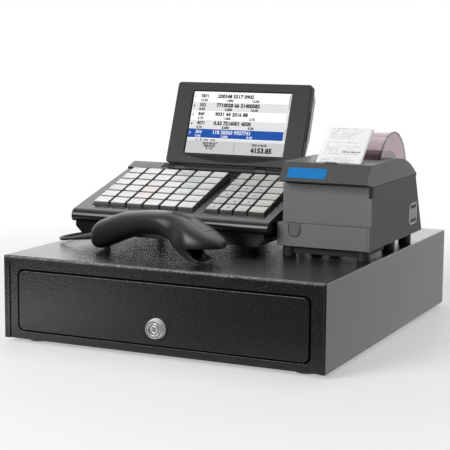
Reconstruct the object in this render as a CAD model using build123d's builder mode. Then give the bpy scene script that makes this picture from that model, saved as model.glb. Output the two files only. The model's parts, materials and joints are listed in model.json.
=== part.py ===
from build123d import *
import math
import os

# Counter till set: cash drawer, keyboard terminal with display, receipt printer and hand scanner.
# Millimetres. X runs to the right, Y to the back and Z up. Z = 0 is the counter the feet stand on.

# ------------------------------------------------------------------ driving dimensions: drawer case
case_width = 410.0
case_depth = 450.0
case_height = 100.0
case_sheet = 1.5
case_fold_radius = 1.2
foot_height = 5.0
foot_radius = 14.0
foot_side_inset = 32.0
foot_front_inset = 28.0
lip_width = 7.0
frame_sheet = 2.0
frame_flange_depth = 8.0
frame_flange_sheet = 1.2
frame_clearance = 0.2
opening_width = 374.0
opening_height = 75.0
opening_bottom = 9.5
opening_corner = 8.0
base_flange_height = 16.0
base_front_flange_height = 7.0
screw_thread_radius = 2.0
screw_head_radius = 3.8
screw_head_height = 2.2
screw_length = 6.0
screw_count = 4
screw_pitch = 110.0

# ------------------------------------------------------------------ driving dimensions: drawer
front_gap_side = 2.0
front_gap_top = 1.75
front_sheet = 2.5
front_return_depth = 9.0
front_return_sheet = 1.5
front_setback = 0.5
tray_width = 352.0
tray_depth = 400.0
tray_height = 60.0
tray_sheet = 1.0
tray_floor_above_opening = 4.0
lock_height = 31.0
lock_proud = 7.0
lock_ring_radius = 12.0
lock_ring_top_radius = 10.5
lock_body_radius = 9.0
lock_body_depth = 15.0
lock_plug_radius = 6.0
lock_ring_recess = 1.2
lock_clearance = 0.05
lock_hole_clearance = 0.1
lock_nut_thickness = 4.0
lock_nut_width = 24.0
cam_length = 24.0
cam_width = 9.0
cam_thickness = 2.0
key_slot_width = 1.4
key_slot_length = 7.0
key_slot_depth = 6.0

slide_length = 380.0
slide_start = 16.0
slide_inner_height = 24.0
slide_inner_thickness = 3.5
slide_web = 2.0
slide_flange = 1.5
slide_gap = 0.3
slide_bracket_length = 24.0

insert_clearance = 1.5
insert_wall = 3.0
insert_height = 50.0
insert_front_gap = 40.0
insert_floor = 2.5
note_count = 5
note_length = 182.0
coin_columns = 4
coin_rows = 2
coin_corner = 12.0
clip_pin_radius = 2.0
clip_barrel_radius = 3.5
clip_width = 26.0
clip_arm_width = 10.0
clip_arm_length = 76.0
clip_thickness = 2.4
clip_paddle_length = 20.0
clip_drop_angle = 27.0
clip_pin_clearance = 0.05

latch_pivot_setback = 24.0
latch_pivot_height = 52.0
latch_pin_radius = 2.5
latch_pin_clearance = 0.05
latch_eye_radius = 6.0
latch_thickness = 4.0
latch_arm_height = 6.0
latch_hook_thickness = 4.0
latch_hook_overlap = 2.0
latch_raised_angle = 20.0
latch_side_gap = 0.3
latch_cheek_sheet = 2.0
latch_cheek_width = 10.0
latch_tail = 12.0
strike_height = 40.0
strike_length = 14.0
strike_hole_length = 11.0
strike_width = 16.0
strike_sheet = 2.0
solenoid_radius = 8.0
solenoid_height = 36.0
plunger_radius = 2.5
plunger_height = 5.0

# ------------------------------------------------------------------ driving dimensions: terminal
terminal_left = -191.0
terminal_right = 81.0
terminal_front = 129.5
terminal_post_height = 11.0
terminal_post_size = 7.5
terminal_shell = 2.5
lower_case_height = 15.0
lower_case_inset = 6.0
lower_case_chamfer = 9.0
lower_case_rear = 333.0
deck_slope = 15.1
key_slope = 17.6
key_plane_front = 148.5
key_plane_height = 50.0
key_proud = 4.7
deck_nose_radius = 10.0
nose_chin = 3.0
nose_chin_radius = 6.0
deck_corner_radius = 1.5
ledge_front = 278.0
ledge_rise = 1.7
ledge_rear = 295.6
ledge_rear_height = 87.9
ledge_back = 302.0
hump_rear = 336.0
hump_rear_height = 52.0
key_unit = 19.05
key_wide = 1.25
key_rows = 6
left_block_start = -171.0
left_block_columns = 6
right_block_start = -13.0
right_block_narrow_columns = 3
key_gap = 1.0
key_taper = 0.9
key_height = 9.0
key_travel = 3.5
key_stem_radius = 2.2
key_stem_clearance = 0.3
key_stem_entry = 0.6
key_field_margin = 1.2
switch_size = 14.0
switch_height = 4.0
switch_clearance = 0.4
key_plate_thickness = 1.5
board_thickness = 1.6
board_height = 19.0
board_post_radius = 3.0
board_margin = 16.0
front_port_width = 12.0
front_port_height = 5.0
front_port_depth = 0.8
front_port_x = 54.0
socket_width = 13.0
socket_height = 7.0

# ------------------------------------------------------------------ driving dimensions: display
display_width = 196.0
display_height = 114.5
display_left = -140.0
display_foot_back = 290.0
display_foot_height = 89.5
display_tilt = 20.6
display_corner = 4.5
bezel_depth = 11.0
bezel_face = 2.0
bezel_wall = 2.5
bezel_edge_radius = 1.2
crescent_inset = 0.5
crescent_drop = 8.2
crescent_depth = 1.2
screen_width = 144.7
screen_height = 88.5
screen_left = 24.7
screen_bottom = 14.3
panel_margin = 3.0
panel_thickness = 6.0
card_slot_low = 38.0
card_slot_high = 78.0
card_slot_width = 2.6
card_slot_depth = 1.5
rear_cover_inset = 3.0
rear_cover_depth = 15.0
rear_cover_foot_depth = 4.0
rear_cover_wall = 2.2
hinge_places = (22.0, 140.0)
hinge_pin_radius = 2.0
hinge_pin_clearance = 0.05
hinge_barrel_radius = 5.0
hinge_barrel_length = 16.0
hinge_lug_length = 6.0
hinge_side_gap = 0.3
hinge_back = 6.5
hinge_foot_gap = 0.5
hinge_web_thickness = 6.0
hinge_barrel_end_gap = 3.0
hinge_pocket_margin = 3.0

# ------------------------------------------------------------------ driving dimensions: printer
printer_left = 83.5
printer_right = 200.0
printer_front = 150.0
printer_rear = 358.0
printer_rear_lean = 23.3
printer_foot_height = 12.0
printer_foot_radius = 8.0
printer_base_height = 28.0
printer_wall = 2.5
printer_side_gap = 0.2
printer_body_inset_front = 6.5
printer_body_inset_left = 5.0
cover_inset_left = 7.0
printer_seam_height = 87.1
printer_seam_gap = 0.3
printer_top_height = 113.0
cover_lip_front = 136.0
cover_lip_height = 92.0
cover_lip_back = 158.0
cover_edge_front = 153.0
cover_top_rear = 250.0
cover_shoulder_back = 324.0
cover_shoulder_height = 91.0
cover_pin_radius = 1.5
cover_knuckle_radius = 3.5
cover_knuckle_length = 3.5
cover_pin_clearance = 0.05
cover_knuckle_gap = 0.4
cover_knuckle_end_gap = 0.3
notch_width = 4.0
notch_height = 13.0
notch_depth = 6.0
paper_width = 57.0
paper_thickness = 0.3
paper_right = 181.5
paper_exit = 171.5
paper_lean = 49.0
paper_length = 55.0
paper_slot_front = 166.0
paper_slot_rear = 175.0
paper_side_clearance = 2.5
roll_radius = 36.0
roll_core_radius = 8.5
roll_back = 272.0
roll_height = 84.0
bay_front = 232.0
bay_rear = 318.0
bay_floor = 42.0
bay_rim = 70.0
bay_clearance = 0.4
dome_radius = 55.0
dome_thickness = 2.0
dome_back = 275.0
dome_height = 89.0
dome_front_edge = 108.0
dome_rear_edge = 100.0
dome_side_clearance = 4.5
dome_gap = 0.5
dome_pin_back = 314.0
dome_pin_height = 91.0
dome_pin_radius = 1.5
dome_pin_clearance = 0.05
dome_cheek_width = 5.5
dome_cheek_front = 6.0
dome_cheek_middle = 4.0
dome_cheek_rear = 8.0
dome_cheek_heights = (97.0, 93.0, 90.0)
platen_radius = 7.3
platen_back = 182.0
platen_height = 96.0
platen_shaft_radius = 2.5
platen_clearance = 0.05
platen_cheek_half = 5.0
platen_cheek_drop = 6.0
platen_side_clearance = 3.5
platen_cheek_gap = 3.0
platen_cheek_width = 3.0
platen_gear_width = 5.0
platen_gear_teeth = 18
platen_gear_radius = 8.0
gear_tooth_depth = 1.8
print_head_depth = 7.0
print_head_bottom = 82.0
print_head_top = 100.0
print_head_gap = 0.35
feed_button_radius = 7.0
feed_button_x = 106.0
feed_button_height = 31.0
feed_button_gap = 0.4
feed_button_length = 5.0
feed_button_proud = 0.4
feed_flange = 1.4
rocker_back = 318.0
rocker_height = 38.0
rocker_length = 26.0
rocker_width = 14.0
rocker_gap = 0.9
rocker_pin_radius = 1.5
rocker_pin_clearance = 0.05
rocker_pin_length = 2.5
rocker_proud = 0.6
rocker_thickness = 3.4
rocker_hub_radius = 3.2
rocker_frame_width = 31.0
rocker_frame_height = 27.0
rocker_frame_depth = 8.0

# ------------------------------------------------------------------ driving dimensions: scanner
scanner_back = 95.0
scanner_start = -130.0
scanner_heading = -10.1
scanner_wall = 2.2
scanner_corner = 0.45
trigger_start = 112.0
trigger_end = 166.0
trigger_width = 24.0
trigger_gap = 0.4
trigger_low = 31.0
mouth_width = 40.0
mouth_wall = 2.0
window_thickness = 2.0
window_gap = 0.1
rest_nub_along = 29.0
rest_nub_size = 6.0
relief_tail_drop = 5.2
relief_length = 30.0
relief_start_radius = 5.6
relief_end_radius = 3.4
relief_neck_radius = 4.45
relief_bore_clearance = 0.05
relief_ribs = 7
relief_rib_depth = 0.8

# ------------------------------------------------------------------ driving dimensions: scanner lead
cord_radius = 2.1
cord_rest_gap = 0.3
coil_mid_radius = 23.0
coil_layers = 4
coil_centre = (-62.0, 398.0)
plug_length = 20.0
plug_width = 11.0
plug_height = 8.0
plug_nose_length = 8.0
plug_clearance = 0.1
plug_tail_length = 8.0
plug_tail_radius = 3.2

# ------------------------------------------------------------------ derived places
rear_proud = screw_head_height
front_y = (lock_proud - case_depth - rear_proud) / 2
rear_y = front_y + case_depth
case_top = foot_height + case_height
case_inner_half = case_width / 2 - case_sheet


def depth(distance):
    """Y of a point this far behind the front of the case."""
    return front_y + distance


def above(height):
    """Z of a point this far above the top of the case."""
    return case_top + height


def low(height):
    """Z of a point this far above the bottom of the case."""
    return foot_height + height


def forward_plane(x, y, z, rise):
    """Upright plane that faces -X: local x runs to the front, raised by rise degrees, local y up."""
    angle = math.radians(rise)
    return Plane(origin=(x, y, z), x_dir=(0, -math.cos(angle), math.sin(angle)), z_dir=(-1, 0, 0))


os.makedirs("parts", exist_ok=True)


def save(part, name):
    """Label a finished piece and write it as its own STEP file."""
    part.label = name
    export_step(part, f"parts/{name}.step")


# ================================================================== CASH DRAWER
# ------------------------------------------------------------------ case cover: folded sheet
screw_height = low(base_flange_height / 2 + case_sheet / 2)
with BuildPart() as case_cover:
    with Locations((0, front_y, low(0))):
        Box(case_width, case_depth, case_height, align=(Align.CENTER, Align.MIN, Align.MIN))
    outer_folds = case_cover.edges().filter_by(Axis.Y).group_by(Axis.Z)[-1]
    fillet(outer_folds, case_fold_radius)
    with Locations((0, depth(case_sheet), low(0))):
        Box(case_width - 2 * case_sheet, case_depth - 2 * case_sheet, case_height - case_sheet,
            align=(Align.CENTER, Align.MIN, Align.MIN), mode=Mode.SUBTRACT)
    with Locations((0, front_y, low(0))):
        Box(case_width - 2 * lip_width, case_sheet, case_height - lip_width,
            align=(Align.CENTER, Align.MIN, Align.MIN), mode=Mode.SUBTRACT)
    with BuildSketch(Plane.XZ.offset(-rear_y)):
        with Locations((0, screw_height)):
            with GridLocations(screw_pitch, 1, screw_count, 1):
                Circle(screw_thread_radius)
    extrude(amount=case_sheet, mode=Mode.SUBTRACT)
save(case_cover.part, "case_cover")

# ------------------------------------------------------------------ front frame with its flange
frame_front = depth(case_sheet)
opening_mid = low(opening_bottom + opening_height / 2)
frame_top = case_top - case_sheet - frame_clearance
with BuildPart() as case_front_frame:
    with Locations((0, frame_front, low(0))):
        Box(2 * (case_inner_half - frame_clearance), frame_sheet, frame_top - low(0),
            align=(Align.CENTER, Align.MIN, Align.MIN))
    with BuildSketch(Plane.XZ.offset(-frame_front)):
        with Locations((0, opening_mid)):
            RectangleRounded(opening_width + 2 * frame_flange_sheet, opening_height + 2 * frame_flange_sheet,
                             opening_corner + frame_flange_sheet)
    extrude(amount=-(frame_sheet + frame_flange_depth))
    with BuildSketch(Plane.XZ.offset(-frame_front)):
        with Locations((0, opening_mid)):
            RectangleRounded(opening_width, opening_height, opening_corner)
    extrude(amount=-(frame_sheet + frame_flange_depth), mode=Mode.SUBTRACT)
save(case_front_frame.part, "case_front_frame")

# ------------------------------------------------------------------ base pan
base_front = frame_front + frame_sheet
base_rear = rear_y - case_sheet
base_length = base_rear - base_front
base_half = case_inner_half - frame_clearance
foot_x = case_width / 2 - foot_side_inset
foot_front_y = depth(foot_front_inset)
foot_rear_y = rear_y - foot_front_inset
with BuildPart() as case_base:
    with Locations((0, base_front, low(0))):
        Box(2 * base_half, base_length, base_flange_height, align=(Align.CENTER, Align.MIN, Align.MIN))
    with Locations((0, base_front + case_sheet, low(case_sheet))):
        Box(2 * (base_half - case_sheet), base_length - 2 * case_sheet, base_flange_height,
            align=(Align.CENTER, Align.MIN, Align.MIN), mode=Mode.SUBTRACT)
    with Locations((0, base_front, low(base_front_flange_height))):
        Box(2 * base_half, case_sheet, base_flange_height,
            align=(Align.CENTER, Align.MIN, Align.MIN), mode=Mode.SUBTRACT)
    with BuildSketch(Plane.XZ.offset(-rear_y)):
        with Locations((0, screw_height)):
            with GridLocations(screw_pitch, 1, screw_count, 1):
                Circle(screw_thread_radius)
    extrude(amount=2 * case_sheet + 1, mode=Mode.SUBTRACT)
save(case_base.part, "case_base")

# ------------------------------------------------------------------ four rubber feet
with BuildPart() as case_feet:
    with BuildSketch():
        with Locations((foot_x, foot_front_y), (-foot_x, foot_front_y),
                       (foot_x, foot_rear_y), (-foot_x, foot_rear_y)):
            Circle(foot_radius)
    extrude(amount=foot_height)
    chamfer(case_feet.edges().filter_by(GeomType.CIRCLE).group_by(Axis.Z)[0], foot_height / 4)
save(case_feet.part, "case_feet")

# ------------------------------------------------------------------ pan-head screws in the back
with BuildPart() as case_screws:
    with BuildSketch(Plane.XZ.offset(-(rear_y + screw_head_height))):
        with Locations((0, screw_height)):
            with GridLocations(screw_pitch, 1, screw_count, 1):
                Circle(screw_head_radius)
    extrude(amount=screw_head_height)
    fillet(case_screws.edges().filter_by(GeomType.CIRCLE).group_by(Axis.Y)[-1], screw_head_height / 2)
    with BuildSketch(Plane.XZ.offset(-rear_y)):
        with Locations((0, screw_height)):
            with GridLocations(screw_pitch, 1, screw_count, 1):
                Circle(screw_thread_radius)
    extrude(amount=screw_length)
save(case_screws.part, "case_screws")

# ------------------------------------------------------------------ drawer front
panel_width = opening_width - 2 * front_gap_side
panel_height = opening_height - 2 * front_gap_top
panel_corner = opening_corner - front_gap_side + 1
panel_face = depth(front_setback)
panel_back = panel_face + front_sheet
lock_centre = (0, low(lock_height))
with BuildPart() as drawer_front:
    with BuildSketch(Plane.XZ.offset(-panel_face)):
        with Locations((0, opening_mid)):
            RectangleRounded(panel_width, panel_height, panel_corner)
    extrude(amount=-(front_sheet + front_return_depth))
    fillet(drawer_front.faces().sort_by(Axis.Y)[0].edges(), 1.0)
    with BuildSketch(Plane.XZ.offset(-panel_back)):
        with Locations((0, opening_mid)):
            RectangleRounded(panel_width - 2 * front_return_sheet, panel_height - 2 * front_return_sheet,
                             panel_corner - front_return_sheet)
    extrude(amount=-front_return_depth, mode=Mode.SUBTRACT)
    with BuildSketch(Plane.XZ.offset(-panel_face)):
        with Locations(lock_centre):
            Circle(lock_body_radius + lock_hole_clearance)
    extrude(amount=-front_sheet, mode=Mode.SUBTRACT)
save(drawer_front.part, "drawer_front")

# ------------------------------------------------------------------ drawer tray with strike
tray_front = panel_back
tray_rear = tray_front + tray_depth
tray_bottom = low(opening_bottom + tray_floor_above_opening)
cam_front = panel_face + lock_body_depth + 0.5
with BuildPart() as drawer_tray:
    with Locations((0, tray_front, tray_bottom)):
        Box(tray_width, tray_depth, tray_height, align=(Align.CENTER, Align.MIN, Align.MIN))
    with Locations((0, tray_front + tray_sheet, tray_bottom + tray_sheet)):
        Box(tray_width - 2 * tray_sheet, tray_depth - 2 * tray_sheet, tray_height,
            align=(Align.CENTER, Align.MIN, Align.MIN), mode=Mode.SUBTRACT)
    with BuildSketch(Plane.XZ.offset(-tray_front)):
        with Locations(lock_centre):
            Circle(lock_body_radius + lock_hole_clearance)
    extrude(amount=-tray_sheet, mode=Mode.SUBTRACT)
    # slot in the floor that the lock cam swings down through
    with Locations((0, cam_front - 1, tray_bottom)):
        Box(2 * cam_length, cam_thickness + 2, tray_sheet, align=(Align.CENTER, Align.MIN, Align.MIN),
            mode=Mode.SUBTRACT)
    # strike plate on the back wall, with the hole that the latch hook drops into
    with Locations((0, tray_rear, low(strike_height))):
        Box(strike_width, strike_length, strike_sheet, align=(Align.CENTER, Align.MIN, Align.MIN))
    with Locations((0, tray_rear + strike_length / 2, low(strike_height))):
        Box(strike_width / 2, strike_hole_length, strike_sheet,
            align=(Align.CENTER, Align.CENTER, Align.MIN),
            mode=Mode.SUBTRACT)
save(drawer_tray.part, "drawer_tray")

# ------------------------------------------------------------------ lock
lock_front = front_y - lock_proud
lock_plane = Plane(origin=(0, panel_face, low(lock_height)), x_dir=(1, 0, 0), z_dir=(0, -1, 0))
with BuildPart() as lock_body:
    with BuildSketch(lock_plane):
        Circle(lock_ring_radius)
    with BuildSketch(lock_plane.offset(panel_face - lock_front)):
        Circle(lock_ring_top_radius)
    loft()
    fillet(lock_body.edges().filter_by(GeomType.CIRCLE).sort_by(Axis.Y)[0], 1.0)
    with BuildSketch(lock_plane):
        Circle(lock_body_radius)
    extrude(amount=-lock_body_depth)
    with BuildSketch(lock_plane.offset(-(front_sheet + tray_sheet))):
        RegularPolygon(lock_nut_width / 2, 6, major_radius=False)
    extrude(amount=-lock_nut_thickness)
    with BuildSketch(lock_plane.offset(panel_face - lock_front)):
        Circle(lock_plug_radius + lock_clearance)
    extrude(amount=-(lock_body_depth + panel_face - lock_front), mode=Mode.SUBTRACT)
save(lock_body.part, "lock_body")

plug_front = panel_face - lock_front - lock_ring_recess
with BuildPart() as lock_plug:
    with BuildSketch(lock_plane.offset(plug_front)):
        Circle(lock_plug_radius)
    extrude(amount=-(plug_front + lock_body_depth + 0.5))
    with BuildSketch(lock_plane.offset(plug_front)):
        SlotOverall(key_slot_length, key_slot_width, rotation=90)
    extrude(amount=-key_slot_depth, mode=Mode.SUBTRACT)
    # cam tongue, lying sideways while the drawer is unlocked
    with BuildSketch(lock_plane.offset(-(lock_body_depth + 0.5))):
        Circle(lock_plug_radius)
        with Locations((cam_length / 2, 0)):
            RectangleRounded(cam_length, cam_width, cam_width / 4)
    extrude(amount=-cam_thickness)
save(lock_plug.part, "lock_plug")

# ------------------------------------------------------------------ telescopic slides, one pair
slide_z = low(opening_bottom + opening_height / 2)
slide_y = depth(slide_start)
tray_half = tray_width / 2


def slide_pair(profile_boxes, start_y, length):
    """Both hands of one slide member, from boxes (x inner, x outer, z centre, height)."""
    for side in (1, -1):
        for x_in, x_out, z_mid, height in profile_boxes:
            with Locations((side * (x_in + x_out) / 2, start_y, z_mid)):
                Box(x_out - x_in, length, height, align=(Align.CENTER, Align.MIN, Align.CENTER))


inner_out = tray_half + slide_inner_thickness
middle_in = inner_out + slide_gap
middle_out = middle_in + slide_web
middle_half = slide_inner_height / 2 + slide_gap
outer_in = middle_out + slide_gap
outer_out = outer_in + slide_web
outer_half = middle_half + slide_flange + slide_gap
with BuildPart() as slide_inner:
    slide_pair([(tray_half, inner_out, slide_z, slide_inner_height)], slide_y, slide_length)
save(slide_inner.part, "slide_inner")

middle_flange_in = tray_half + slide_inner_thickness / 2
with BuildPart() as slide_middle:
    slide_pair([(middle_in, middle_out, slide_z, 2 * (middle_half + slide_flange)),
                (middle_flange_in, middle_out, slide_z + middle_half + slide_flange / 2, slide_flange),
                (middle_flange_in, middle_out, slide_z - middle_half - slide_flange / 2, slide_flange)],
               slide_y, slide_length)
save(slide_middle.part, "slide_middle")

bracket_places = (slide_y, slide_y + slide_length / 2 - slide_bracket_length / 2,
                  slide_y + slide_length - slide_bracket_length)
with BuildPart() as slide_outer:
    slide_pair([(outer_in, outer_out, slide_z, 2 * (outer_half + slide_flange)),
                (middle_in, outer_out, slide_z + outer_half + slide_flange / 2, slide_flange),
                (middle_in, outer_out, slide_z - outer_half - slide_flange / 2, slide_flange)],
               slide_y, slide_length)
    # spacer brackets that carry the rail on the side of the case
    for bracket_y in bracket_places:
        slide_pair([(outer_out, case_inner_half, slide_z, 2 * outer_half)], bracket_y, slide_bracket_length)
save(slide_outer.part, "slide_outer")

# ------------------------------------------------------------------ till insert
insert_width = tray_width - 2 * tray_sheet - 2 * insert_clearance
insert_front = tray_front + insert_front_gap
insert_rear = tray_rear - tray_sheet - insert_clearance
insert_length = insert_rear - insert_front
insert_bottom = tray_bottom + tray_sheet
insert_top = insert_bottom + insert_height
note_width = (insert_width - (note_count + 1) * insert_wall) / note_count
note_pitch = note_width + insert_wall
note_mid_y = insert_rear - insert_wall - note_length / 2
coin_zone = insert_length - note_length - 3 * insert_wall
coin_length = (coin_zone - (coin_rows - 1) * insert_wall) / coin_rows
coin_width = (insert_width - (coin_columns + 1) * insert_wall) / coin_columns
coin_pitch_x = coin_width + insert_wall
coin_pitch_y = coin_length + insert_wall
coin_mid_y = insert_front + insert_wall + coin_zone / 2
pocket_depth = insert_height - insert_floor
clip_pivot_y = insert_rear - insert_wall - clip_barrel_radius - 1.5
clip_pivot_z = insert_top - clip_barrel_radius - 1.0
note_centres = [(index - (note_count - 1) / 2) * note_pitch for index in range(note_count)]
with BuildPart() as till_insert:
    with Locations((0, insert_front, insert_bottom)):
        Box(insert_width, insert_length, insert_height, align=(Align.CENTER, Align.MIN, Align.MIN))
    fillet(till_insert.edges().filter_by(Axis.Z), 4.0)
    with BuildSketch(Plane.XY.offset(insert_top)):
        with Locations((0, note_mid_y)):
            with GridLocations(note_pitch, 1, note_count, 1):
                RectangleRounded(note_width, note_length, 2.0)
    extrude(amount=-pocket_depth, mode=Mode.SUBTRACT)
    with BuildSketch(Plane.XY.offset(insert_top)):
        with Locations((0, coin_mid_y)):
            with GridLocations(coin_pitch_x, coin_pitch_y, coin_columns, coin_rows):
                RectangleRounded(coin_width, coin_length, coin_corner)
    extrude(amount=-pocket_depth, mode=Mode.SUBTRACT)
    # one long bore through the bay walls carries every clip's pins
    with BuildSketch(Plane.YZ.offset(-(insert_width / 2 - insert_wall / 2))):
        with Locations((clip_pivot_y, clip_pivot_z)):
            Circle(clip_pin_radius + clip_pin_clearance)
    extrude(amount=insert_width - insert_wall, mode=Mode.SUBTRACT)
save(till_insert.part, "till_insert")

# ------------------------------------------------------------------ note clips, one per bay
clip_pin_reach = note_width / 2 + insert_wall / 2 - 0.3
for index, clip_x in enumerate(note_centres):
    clip_plane = forward_plane(clip_x, clip_pivot_y, clip_pivot_z, -clip_drop_angle)
    with BuildPart() as note_clip:
        with BuildSketch(clip_plane.offset(-clip_pin_reach)):
            Circle(clip_pin_radius)
        extrude(amount=2 * clip_pin_reach)
        with BuildSketch(clip_plane.offset(-clip_width / 2)):
            Circle(clip_barrel_radius)
        extrude(amount=clip_width)
        with BuildSketch(clip_plane.offset(-clip_arm_width / 2)):
            with Locations((clip_arm_length / 2, 0)):
                Rectangle(clip_arm_length, clip_thickness)
        extrude(amount=clip_arm_width)
        with BuildSketch(clip_plane.offset(-clip_width / 2)):
            with Locations(Location((clip_arm_length, 0), clip_drop_angle)):
                Rectangle(clip_paddle_length, clip_thickness)
        extrude(amount=clip_width)
    save(note_clip.part, f"note_clip_{index + 1}")

# ------------------------------------------------------------------ latch solenoid, bracket and lever
latch_pivot_y = tray_rear + latch_pivot_setback
latch_pivot_z = low(latch_pivot_height)
latch_reach = latch_pivot_setback - strike_length / 2
latch_drop = latch_pivot_height - strike_height + latch_hook_overlap
cheek_x = latch_thickness / 2 + latch_side_gap + latch_cheek_sheet / 2
cheek_outer = cheek_x + latch_cheek_sheet / 2
cheek_height = latch_pivot_height + latch_eye_radius - case_sheet
with BuildPart() as latch_solenoid:
    with Locations((0, latch_pivot_y, low(case_sheet))):
        Box(2 * cheek_outer, latch_cheek_width, latch_cheek_sheet,
            align=(Align.CENTER, Align.CENTER, Align.MIN))
    # upright cheeks either side of the lever, joined by its pivot pin
    with Locations((cheek_x, latch_pivot_y, low(case_sheet)), (-cheek_x, latch_pivot_y, low(case_sheet))):
        Box(latch_cheek_sheet, latch_cheek_width, cheek_height,
            align=(Align.CENTER, Align.CENTER, Align.MIN))
    with BuildSketch(Plane.YZ.offset(-cheek_outer)):
        with Locations((latch_pivot_y, latch_pivot_z)):
            Circle(latch_pin_radius)
    extrude(amount=2 * cheek_outer)
    with BuildSketch(Plane.XY.offset(low(case_sheet))):
        with Locations((0, latch_pivot_y + latch_tail)):
            Circle(solenoid_radius)
    extrude(amount=solenoid_height)
    with BuildSketch(Plane.XY.offset(low(case_sheet + solenoid_height))):
        with Locations((0, latch_pivot_y + latch_tail)):
            Circle(plunger_radius)
    extrude(amount=plunger_height)
save(latch_solenoid.part, "latch_solenoid")

# local x points to the front and local y up; the hook stands raised clear of the strike
with BuildPart() as latch_lever:
    with BuildSketch(forward_plane(latch_thickness / 2, latch_pivot_y, latch_pivot_z, latch_raised_angle)):
        Circle(latch_eye_radius)
        with Locations(((latch_reach - latch_tail) / 2, 0)):
            Rectangle(latch_reach + latch_tail, latch_arm_height)
        with Locations((latch_reach, latch_arm_height / 2)):
            Rectangle(latch_hook_thickness, latch_drop + latch_arm_height / 2,
                      align=(Align.CENTER, Align.MAX))
        Circle(latch_pin_radius + latch_pin_clearance, mode=Mode.SUBTRACT)
    extrude(amount=latch_thickness)
save(latch_lever.part, "latch_lever")


# ================================================================== KEYBOARD TERMINAL
slope = math.radians(key_slope)
deck_rise = math.tan(math.radians(deck_slope))
key_origin = (0, depth(key_plane_front), above(key_plane_height))
key_normal = (0, -math.sin(slope), math.cos(slope))
key_plane = Plane(origin=key_origin, x_dir=(1, 0, 0), z_dir=key_normal)
field_depth = key_rows * key_unit


def deck_height(distance):
    """Height above the drawer of the deck surface, this far behind the front of the case."""
    drop = key_proud / math.cos(slope)
    return key_plane_height - drop + (distance - key_plane_front) * deck_rise


# ------------------------------------------------------------------ upper case
terminal_width = terminal_right - terminal_left
seam_height = terminal_post_height + lower_case_height
hinge_tilt = math.radians(display_tilt)
hinge_down = hinge_barrel_radius + hinge_foot_gap
hinge_y = depth(display_foot_back + hinge_back * math.cos(hinge_tilt) - hinge_down * math.sin(hinge_tilt))
hinge_z = above(display_foot_height - hinge_back * math.sin(hinge_tilt) - hinge_down * math.cos(hinge_tilt))
pocket_floor = hinge_z - hinge_barrel_radius - 1.5
pocket_width = display_width + 2 * hinge_pocket_margin
display_mid = display_left + display_width / 2
pocket_front = ledge_front + 3.0
left_field = (left_block_start, left_block_columns * key_wide * key_unit)
right_field_width = (right_block_narrow_columns + key_wide) * key_unit
right_field = (right_block_start, right_field_width)
with BuildPart() as terminal_upper_case:
    with BuildSketch(Plane.YZ.offset(terminal_left)):
        with BuildLine():
            Polyline((depth(terminal_front + nose_chin), above(seam_height)),
                     (depth(terminal_front), above(seam_height + nose_chin)),
                     (depth(terminal_front), above(deck_height(terminal_front))),
                     (depth(ledge_front), above(deck_height(ledge_front))),
                     (depth(ledge_front), above(deck_height(ledge_front) + ledge_rise)),
                     (depth(ledge_rear), above(ledge_rear_height)),
                     (depth(ledge_back), above(ledge_rear_height)),
                     (depth(hump_rear), above(hump_rear_height)),
                     (depth(hump_rear), above(seam_height)), close=True)
        make_face()
    extrude(amount=terminal_width)
    with Locations((display_mid, depth(pocket_front), pocket_floor)):
        Box(pocket_width, hump_rear - pocket_front + 1, display_height,
            align=(Align.CENTER, Align.MIN, Align.MIN), mode=Mode.SUBTRACT)
    nose_edge = terminal_upper_case.edges().filter_by(Axis.X).sort_by(Axis.Y)[0:3].sort_by(Axis.Z)[-1]
    fillet(nose_edge, deck_nose_radius)
    chin_edge = terminal_upper_case.edges().filter_by(Axis.X).group_by(Axis.Y)[0].sort_by(Axis.Z)[0]
    fillet(chin_edge, nose_chin_radius)
    fillet(terminal_upper_case.edges().filter_by(Axis.Z).group_by(Axis.Y)[0], deck_corner_radius)
    offset(amount=-terminal_shell, openings=terminal_upper_case.faces().sort_by(Axis.Z)[0])
    with BuildSketch(key_plane):
        for start, width in (left_field, right_field):
            with Locations((start + width / 2, field_depth / 2)):
                RectangleRounded(width + 2 * key_field_margin, field_depth + 2 * key_field_margin, 2.0)
    extrude(amount=-(key_proud + 4 * terminal_shell), mode=Mode.SUBTRACT)
save(terminal_upper_case.part, "terminal_upper_case")

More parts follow.
